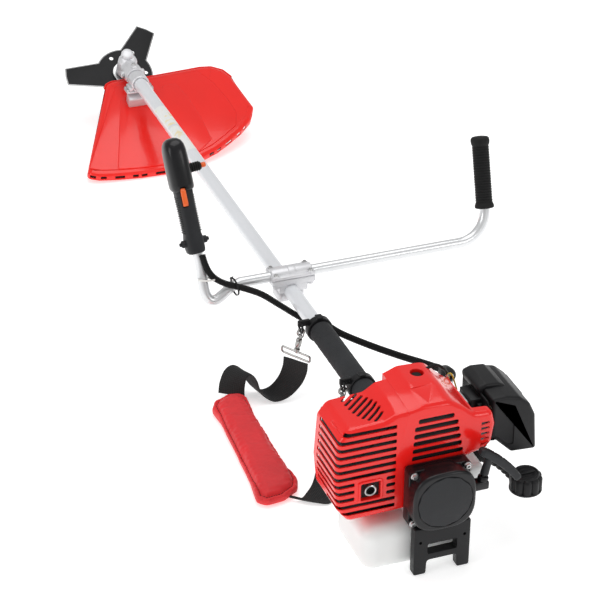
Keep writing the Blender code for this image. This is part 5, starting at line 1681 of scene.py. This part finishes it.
def make_starter():
    outline = rounded([(52, 52), (-52, 52), (-52, -52), (52, -52)], 43, 10)
    bm = bmesh.new()
    add_plate(bm, outline, -40, -1.5, 5.0, BACKWARD, steps=5)
    obj = piece("starter_shell", bm, [GLOSS_BLACK, PLATE_BLACK])
    tools = bmesh.new()
    add_turned(tools, rounded_ends(46.0, -3.2, 10, 0.5), BACKWARD, 72)
    cut(obj, tools)
    bm = bmesh.new()
    bm.from_mesh(obj.data)
    add_plate(bm, rounded([(51, 50), (-51, 50), (-51, -50), (51, -50)], 7), -46, -26, 1.5, BACKWARD)
    add_box(bm, (44, 12, -2), (78, 30, 12.5), 3, 4)
    add_turned(bm, [(4.6, 26), (8.5, 26), (8.5, 32), (7.5, 33.5), (5.6, 34), (4.6, 33)],
               axis_frame(ROPE_EXIT - ROPE_AXIS * 29, ROPE_AXIS), 32)
    scallops = 12
    badge = [((44.6 + 0.7 * math.cos(scallops * a)) * math.cos(a),
              (44.6 + 0.7 * math.cos(scallops * a)) * math.sin(a))
             for a in (2 * math.pi * k / 144 for k in range(144))]
    add_plate(bm, badge, -6, -0.6, 1.6, BACKWARD, slot=1)
    for x, z in STARTER_SCREWS:
        add_turned(bm, rounded_ends(6.8, -27, -22.5, 0.8), BACKWARD
                   @ Matrix.Translation(Vector((x, z, 0))), 32)
    obj.data.clear_geometry()
    bm.to_mesh(obj.data)
    bm.free()
    obj.data.shade_smooth()
    obj.data.set_sharp_from_angle(angle=math.radians(38))
    stand_for(obj, "black_plastic", "starter_housing")
    places = [((x, 22.5, z), -FORWARD) for x, z in STARTER_SCREWS]
    go_with(copies_at("starter_screws", SCREW_5, places, STEEL, seed=9))
    print("starter with", len(places), "screws")


def make_pull_handle():
    stem = axis_frame(ROPE_EXIT, ROPE_AXIS)
    bm = bmesh.new()
    add_turned(bm, [(2.2, 7), (6.2, 7), (7, 9), (6.6, 14), (6.2, 26), (6.8, 36), (0, 37)], stem, 32)
    arch = [(-22, -3), (-8, 0), (20, 1), (50, -2), (70, -7)]
    middle = ROPE_EXIT + ROPE_AXIS * HANDLE_RISE
    path = smooth_path([middle + HANDLE_BAR * a + ROPE_AXIS * b for a, b in arch], 2.0)
    section = rounded([(6.2, 8.4), (-6.2, 8.4), (-6.2, -8.4), (6.2, -8.4)], 4, 4)
    count = len(path)
    sizes = [min(1.0, 0.62 + 0.38 * math.sqrt(min(k, count - 1 - k) / 3)) for k in range(count)]
    add_sweep(bm, path, section, ROPE_AXIS, scales=sizes)
    stand_for(piece("pull_bar", bm, PLATE_BLACK), "black_plastic", "starter_handle")
    bm = bmesh.new()
    for k in range(0, 17):
        spot = path[5 + k * (count - 10) // 17]
        cross = place_frame(spot, (HANDLE_BAR, FORWARD, HANDLE_BAR.cross(FORWARD)))
        add_box(bm, (-0.8, -6.0, 5.4), (0.8, 6.0, 6.9), 0.6, 2, cross)
    go_with(piece("pull_bar_ribs", bm, PLATE_BLACK),
            NODES["starter_handle"]["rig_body"])

    path = [ROPE_EXIT + ROPE_AXIS * h for h in range(-4, 17, 2)]
    bm = bmesh.new()
    add_tube(bm, path, 1.9, sides=12, smooth=False)
    rope = piece("pull_rope", bm, ROPE)
    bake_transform(rope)
    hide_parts("starter_rope")


def make_stand():
    bm = bmesh.new()
    outline = [(-47, -48), (-47, -135), (-26, -135), (-25, -110), (25, -110), (26, -135),
               (47, -135), (47, -48)]
    shape = rounded(outline, [3, 4, 4, 6, 6, 4, 4, 3], 4)
    level = place_frame((1.5, 17, 0), REARWARD_AXES)
    add_plate(bm, shape, -8.3, 8.3, 2.2, level, steps=4)
    obj = piece("stand_moulding", bm, MATT_BLACK)
    tools = bmesh.new()
    add_box(tools, (-25, -98, -20), (25, -79, 20), 2.5, 3, level)
    for x in (-37, 37):
        add_turned(tools, [(0, -20), (2.6, -20), (2.6, 20), (0, 20)],
                   level @ Matrix.Translation(Vector((x, -74, 0))), 24)
    cut(obj, tools)
    stand_for(obj, "black_plastic", "stand")


make_starter()
make_pull_handle()
make_stand()

# %% [markdown]
# ## Fuel tank
# The tank is blow-moulded in natural, milky plastic, so it gets some subsurface light.  A tower at
# its right carries the filler spout, which curls down to a big scalloped black cap.

# %% Tank
CAP_X, CAP_Y = 157.0, 45.0
NECK_ROUTE = [(76, 88, 4), (96, 88, 6), (114, 88, 0), (134, 88, -17), (152, 86, -38),
              (158, 74, -52), (158, 60, -56), (157, 47, -46), (157, 45, -38)]


def make_tank():
    bm = bmesh.new()
    add_box(bm, (-118, 34, -134.5), (62, 162, -54), 22, 8)
    add_box(bm, (46.5, 50, -78), (62, 112, -3), 5, 4)
    add_box(bm, (46.5, 50, -24), (86, 112, 18), 8, 5)
    add_turned(bm, rounded_ends(17, -49, -28, 2), axis_frame((CAP_X, CAP_Y, 0), UP), 40)
    add_plate(bm, rounded([(-112, 40), (56, 40), (56, 156), (-112, 156)], 18), -96, -93.5, 0.8,
              PLAIN)
    stand_for(piece("tank", bm, TANK_WHITE), "tank_plastic", "fuel_tank")
    bm = bmesh.new()
    path = smooth_path(NECK_ROUTE, 2.5)
    ribs = [1.0 + 0.09 * math.sin(k * 1.25) for k in range(len(path))]
    add_sweep(bm, path, circle(9.6, 24), FORWARD, scales=ribs)
    go_with(piece("filler_hose", bm, RUBBER))
    bm = bmesh.new()
    lobes = 10
    profile = [(26, -41), (26, -18.5), (25, -16), (22, -13.6), (18.5, -12.8)]
    rings = []
    for reach, height in profile:
        rings.append([])
        for k in range(160):
            a = 2 * math.pi * k / 160
            lobe = abs(math.cos(lobes * a / 2)) ** 0.6
            r = reach - 3.4 * (1 - lobe) * (1 if reach > 20 else 0)
            rings[-1].append((CAP_X + r * math.cos(a), CAP_Y + r * math.sin(a), height))
    add_loft(bm, rings)
    cap = axis_frame((CAP_X, CAP_Y, 0), UP)
    add_turned(bm, [(0, -13.2), (9, -13.2), (11, -12), (16.5, -12), (18, -10.4), (19.6, -10.2),
                    (20.6, -11.4), (21, -13.4), (12, -14), (0, -14)], cap, 64)
    add_ring(bm, 25, 26.2, -41.2, -38, cap, 0.5)
    add_box(bm, (CAP_X - 15, CAP_Y - 2.2, -14), (CAP_X + 15, CAP_Y + 2.2, -10.1), 1.2)
    stand_for(piece("filler_cap", bm, MATT_BLACK), "black_plastic", "fuel_cap")
    print("tank and its cap, spout", round(sum((b - a).length for a, b in zip(path, path[1:]))), "mm")


make_tank()

# %% [markdown]
# ## Air filter cover, wires and boots
# The cover is a matt black moulding with a rounded roof lobe towards the engine, a stepped
# shoulder and one sunken panel on its back.  Behind it a few wires and the rubber boot are seen.

# %% Air filter
FILTER_BACK, FILTER_FRONT = 78.0, 184.0
FILTER_OUTLINE = [(108, 36), (118, 36), (146, 8), (189, 5), (184, 70), (174, 92), (156, 108),
                  (132, 114), (108, 114)]


def make_air_filter():
    shape = anticlockwise(rounded(FILTER_OUTLINE, [2, 5, 8, 6, 10, 16, 14, 9, 4], 6))
    rings = []
    for k in range(7):
        a = math.pi / 2 * k / 6
        section = inset(shape, 6 * (1 - math.sin(a)))
        rings.append([(x, FILTER_BACK + 6 * (1 - math.cos(a)), z) for x, z in section])
    for k in range(7):
        a = math.pi / 2 * (1 - k / 6)
        section = inset(shape, 8 * (1 - math.sin(a)))
        rings.append([(x, FILTER_FRONT - 8 * (1 - math.cos(a)), z) for x, z in section])
    bm = bmesh.new()
    add_loft(bm, rings)
    obj = piece("filter_shell", bm, [MATT_BLACK, PLATE_BLACK], angle=50)
    tools = bmesh.new()
    add_box(tools, (100, FILTER_BACK + 3, 44), (133.5, FILTER_FRONT - 3, 98), 2, 3)
    cut(obj, tools)
    tools = bmesh.new()
    panel = [(114, 44), (122, 40), (139, 24), (148, 24), (148, 96), (114, 98)]
    add_plate(tools, rounded(panel, 3), -FILTER_BACK - 2.2, -FILTER_BACK + 12, 0.6, BACKWARD)
    cut(obj, tools)
    stand_for(obj, "black_plastic", "air_filter_cover")
    bm = bmesh.new()
    lobe = rounded([(100, 100), (136, 100), (150, 109), (134, 119), (112, 121), (97, 116)], 7, 5)
    add_plate(bm, lobe, -FILTER_FRONT + 8, -FILTER_BACK - 34, 5, BACKWARD, steps=4)
    step = rounded([(176, 30), (189, 26), (187, 68), (178, 88), (168, 92)], 5, 4)
    add_plate(bm, step, -FILTER_FRONT + 6, -FILTER_BACK - 40, 3, BACKWARD)
    add_turned(bm, rounded_ends(7, -9.5, -7, 1.0), BACKWARD
               @ Matrix.Translation(Vector((133, 62, -FILTER_BACK))) @ Matrix.Diagonal((1, 0.6, 1, 1)),
               40)
    go_with(piece("filter_lobe", bm, MATT_BLACK))


def make_wires():
    routes = [("wire_red", WIRE_RED, 1.3, [(100, 224, 74), (84, 196, 92), (70, 170, 112), (66, 150, 116),
                                           (70, 140, 100)]),
              ("wire_yellow", WIRE_YELLOW, 1.3, [(101, 224, 72), (88, 200, 84), (76, 178, 108),
                                                 (74, 158, 120), (80, 150, 96)]),
              ("wire_black", RUBBER, 2.6, [(99, 223, 77), (82, 190, 100), (62, 165, 130),
                                           (40, 150, 150), (14, 138, 152)]),
              ("throttle_wire", STEEL, 0.8, [(98, 222, 74), (90, 190, 98), (80, 165, 106),
                                             (67, 147, 101)])]
    for name, material, radius, route in routes:
        bm = bmesh.new()
        add_tube(bm, route, radius, step=4, sides=12)
        go_with(piece(name, bm, material))
    print(len(routes), "wires")


make_air_filter()
make_wires()

# %% [markdown]
# ## Shoulder strap
# Two snap hooks hang from the loops on the shaft.  Each carries a wire slider, and 48 mm woven
# webbing runs from the sliders to the quilted pad, which lies flat on the floor.  Its width is
# kept level, so the band can turn over a fold without dipping under the floor.

# %% Strap metal
FRONT_HANG = Vector((-LUG_X, FRONT_HANGER_Y, RING_Z - RING_RADIUS))
REAR_HANG = Vector((-LUG_X, REAR_HANGER_Y, RING_Z - RING_RADIUS))
FRONT_LEAN = Vector((-0.2, 0.0, -0.98)).normalized()
REAR_LEAN = Vector((-0.37, -0.3, -0.88)).normalized()
SLIDER_SIDE = Vector((0.64, -0.77, -0.1)).normalized()
SLIDER_DROP = 43.0


def make_snap_hook(end, hang, lean):
    bm = bmesh.new()
    hook = [hang + Vector((math.sin(a), 0, math.cos(a))) * 6.0
            for a in (math.radians(130 - 310 * k / 9) for k in range(10))]
    path = smooth_path(hook + [hang + lean * 14], 1.2)
    count = len(path)
    sizes = [0.75 + 0.4 * k / count for k in range(count)]
    add_sweep(bm, path, circle(2.3, 16), FORWARD, scales=sizes)
    body = axis_frame(hang, lean)
    add_turned(bm, [(0, 12), (4.4, 12), (5.5, 14), (5.5, 25), (4.6, 28), (3.2, 30), (3.2, 31),
                    (5.2, 32), (5.2, 34.5), (3.4, 36), (3.4, 40), (0, 40)], body, 32)
    gate = [hang + Vector((5.0, 0, -3.5)), hang + Vector((4.2, 0, -9)), hang + lean * 15]
    add_tube(bm, gate, 1.3, 2.0, 12, first_side=FORWARD)
    stand_for(piece(end + "_hook", bm, CHROME), "chrome", end + "_snap_hook")
    bm = bmesh.new()
    middle = hang + lean * SLIDER_DROP
    corners = rounded([(28, 5.5), (-28, 5.5), (-28, -5.5), (28, -5.5)], 4, 5)
    loop = [middle + SLIDER_SIDE * a + UP * b for a, b in corners]
    add_tube(bm, loop, 1.8, sides=14, closed=True, first_side=SLIDER_SIDE.cross(UP), smooth=False)
    stand_for(piece(end + "_wire", bm, CHROME), "chrome", end + "_strap_slider")


make_snap_hook("front", FRONT_HANG, FRONT_LEAN)
make_snap_hook("rear", REAR_HANG, REAR_LEAN)

# %% Webbing
FRONT_STRAP = [((-42, 541, -55), (0.64, -0.77)), ((-43, 544, -76), (0.64, -0.77)),
               ((-50, 550, -101), (0.6, -0.8)), ((-67, 556, -123), (0.45, -0.89)),
               ((-88, 562, -130), (0.25, -0.97)), ((-106, 570, -116), (0.2, -0.98)),
               ((-114, 580, -94), (0.3, -0.95)), ((-124, 585, -84), (0.42, -0.9)),
               ((-136, 586, -90), (0.55, -0.83)), ((-144, 582, -108), (0.7, -0.71)),
               ((-148, 574, -123), (0.8, -0.6))]
REAR_STRAP = [((-51, 331, -50), (0.64, -0.77)), ((-57, 322, -76), (0.66, -0.75)),
              ((-70, 300, -108), (0.68, -0.73)), ((-88, 272, -127), (0.72, -0.69)),
              ((-106, 254, -132.5), (0.8, -0.6)), ((-120, 243, -132), (0.8, -0.6)),
              ((-136, 248, -129), (0.78, -0.62)), ((-150, 258, -126), (0.76, -0.65))]
WEBBING_WIDTH = 48.0
WEBBING_THICKNESS = 2.2


def webbing_rows(stations, step=3.0):
    """(centre, side, face) rows along the band, its width direction carried along."""
    centres = smooth_path([c for c, _ in stations], step)
    marks = [0.0]
    for (a, _), (b, _) in zip(stations, stations[1:]):
        marks.append(marks[-1] + (Vector(b) - Vector(a)).length)
    rows = []
    for k, centre in enumerate(centres):
        way = marks[-1] * k / (len(centres) - 1)
        i = max(j for j in range(len(marks) - 1) if marks[j] <= way)
        share = (way - marks[i]) / (marks[i + 1] - marks[i])
        side = Vector((*stations[i][1], 0)).lerp(Vector((*stations[i + 1][1], 0)), share)
        ahead = centres[min(k + 1, len(centres) - 1)] - centres[max(k - 1, 0)]
        rows.append((centre, side.normalized(), ahead.cross(side).normalized()))
    return rows


def make_webbing(end, stations):
    rows = webbing_rows(stations)
    across = 16
    half = WEBBING_THICKNESS / 2
    bm = bmesh.new()
    uv = bm.loops.layers.uv.new("UVMap")
    rings = []
    travelled = 0.0
    for k, (centre, side, face) in enumerate(rows):
        if k:
            travelled += (centre - rows[k - 1][0]).length
        ring = []
        for top in (1, -1):
            for j in range(across + 1):
                u = (j / across - 0.5) if top > 0 else (0.5 - j / across)
                thin = half * (1.0 - 0.45 * max(0.0, abs(u) - 0.44) / 0.06)
                ripple = 0.5 * math.sin(travelled * 0.11 + u * 5) * (1 - abs(u))
                spot = centre + side * (u * WEBBING_WIDTH) + face * (top * thin + ripple)
                ring.append((bm.verts.new(at(spot)), (u + 0.5) * WEBBING_WIDTH * MM,
                             travelled * MM))
        rings.append(ring)
    for lower, upper in zip(rings, rings[1:]):
        for j in range(len(lower)):
            i = (j + 1) % len(lower)
            corners = (lower[j], lower[i], upper[i], upper[j])
            face = bm.faces.new([c[0] for c in corners])
            for loop, corner in zip(face.loops, corners):
                loop[uv].uv = corner[1:]
    bm.faces.new([c[0] for c in rings[0]][::-1])
    bm.faces.new([c[0] for c in rings[-1]])
    bmesh.ops.recalc_face_normals(bm, faces=bm.faces)
    name = end + "_webbing"
    stand_for(piece(name, bm, WEBBING, 50), "webbing", "strap_" + end + "_webbing")
    return travelled


run = make_webbing("front", FRONT_STRAP) + make_webbing("rear", REAR_STRAP)
print("webbing shown:", round(run), "mm")

# %% [markdown]
# ## Shoulder pad
# A red quilted pad: two cloths round a foam sheet, with a stitched channel just inside its edge.
# The blank is swollen a little by a cloth simulation, then the channel and the soft creases
# across the pad are pressed in.

# %% Pad
PAD_OUTLINE = [(-199, 546), (-186, 566), (-155, 578), (-133, 576), (-122, 560), (-125, 292),
               (-136, 268), (-165, 252), (-200, 248), (-216, 264)]
PAD_LOW, PAD_HIGH = -133.5, -116.0
PAD_VOXEL = 0.005
PAD_CAP = 0.006
CHANNEL_INSET = 13.0


def simulate_pad(obj):
    """Swell the blank with pressure, and hold every point within PAD_CAP of where it began."""
    scene = bpy.context.scene
    cloth = obj.modifiers.new("Cloth", "CLOTH")
    cloth.settings.use_pressure = True
    cloth.settings.uniform_pressure_force = 4.0
    cloth.settings.effector_weights.gravity = 0.0
    cloth.settings.tension_stiffness = 25
    cloth.settings.compression_stiffness = 25
    cloth.point_cache.frame_start = 1
    cloth.point_cache.frame_end = 20
    before = [v.co.copy() for v in obj.data.vertices]
    for number in range(1, 21):
        scene.frame_set(number)
    evaluated = obj.evaluated_get(bpy.context.evaluated_depsgraph_get())
    after = [v.co.copy() for v in evaluated.data.vertices]
    obj.modifiers.clear()
    scene.frame_set(1)
    moved = 0.0
    for vertex, old, new in zip(obj.data.vertices, before, after):
        step = new - old
        if step.length > PAD_CAP:
            step = step.normalized() * PAD_CAP
        vertex.co = old + step
        moved = max(moved, step.length)
    return moved


def distance_to_outline(x, y, outline):
    best = 1e9
    for a, b in zip(outline, outline[1:] + outline[:1]):
        a, b, p = Vector(a), Vector(b), Vector((x, y))
        edge = b - a
        t = max(0.0, min(1.0, (p - a).dot(edge) / edge.length_squared))
        best = min(best, (p - a - edge * t).length)
    return best


def make_pad():
    shape = anticlockwise(rounded(PAD_OUTLINE, 10, 4))
    blank = inset(shape, 3.0)
    bm = bmesh.new()
    add_plate(bm, blank, PAD_LOW, PAD_HIGH, 5.0)
    obj = piece("pad", bm, PAD_CLOTH)
    remesh = obj.modifiers.new("Remesh", "REMESH")
    remesh.mode = "VOXEL"
    remesh.voxel_size = PAD_VOXEL
    apply_modifiers(obj)
    moved = simulate_pad(obj)
    smooth = obj.modifiers.new("Subdivision", "SUBSURF")
    smooth.levels = smooth.render_levels = 2
    apply_modifiers(obj)
    floor_level = at((0, 0, -134.6)).z
    for vertex in obj.data.vertices:
        x, y, z = (vertex.co - ORIGIN) / MM
        if z > -127:
            away = distance_to_outline(x, y, shape)
            groove = 4.6 * math.exp(-((away - CHANNEL_INSET) / 2.3) ** 2)
            crown = 3.0 * max(0.0, min(1.0, (away - CHANNEL_INSET) / 14))
            crease = noise.noise(Vector((x * 0.018, y * 0.075, 3.1)))
            fine = noise.noise(Vector((x * 0.05, y * 0.16, 7.7)))
            pucker = 0.6 * math.sin(y * 0.55 + 2 * crease) * math.exp(-((away - CHANNEL_INSET) / 9) ** 2)
            vertex.co.z += (crown - groove + 1.9 * crease + 0.8 * fine + pucker) * MM
        vertex.co.z = max(vertex.co.z, floor_level)
    obj.data.materials.clear()
    obj.data.materials.append(PAD_CLOTH)
    obj.data.shade_smooth()
    stand_for(obj, "pad_cloth", "shoulder_pad")
    print("pad swelled", round(moved / MM, 1), "mm,", len(obj.data.vertices), "vertices")
    return obj


def make_pad_stitches(pad):
    """A row of stitches in the channel, laid on the pad's own surface."""
    line = inset(anticlockwise(rounded(PAD_OUTLINE, 10, 4)), CHANNEL_INSET)
    path = []
    for a, b in zip(line, line[1:] + line[:1]):
        count = max(1, round((Vector(b) - Vector(a)).length / 3))
        for k in range(count):
            x, y = Vector(a).lerp(Vector(b), k / count)
            hit, spot, _, _ = pad.ray_cast(at((x, y, 0)), Vector((0, 0, -1)))
            if hit:
                path.append((spot - ORIGIN) / MM + Vector((0, 0, 0.25)))
    bm = bmesh.new()
    turn = Matrix.Rotation(math.pi / 2, 4, "Y")
    add_turned(bm, [(0, -1.7), (0.45, -1.4), (0.5, 0), (0.45, 1.4), (0, 1.7)], PLAIN @ turn, 8)
    stitches = copies_along("pad_stitches", pattern("stitch", bm, THREAD), path, 4.4, THREAD, True)
    go_with(stitches)
    print("pad stitched along", len(path), "points")


pad = make_pad()
make_pad_stitches(pad)

# %% [markdown]
# ## Finish
# The master shapes that the node trees copied are no longer needed, so they go.

# %% Clear the masters
for obj in PATTERNS:
    bpy.data.objects.remove(obj)
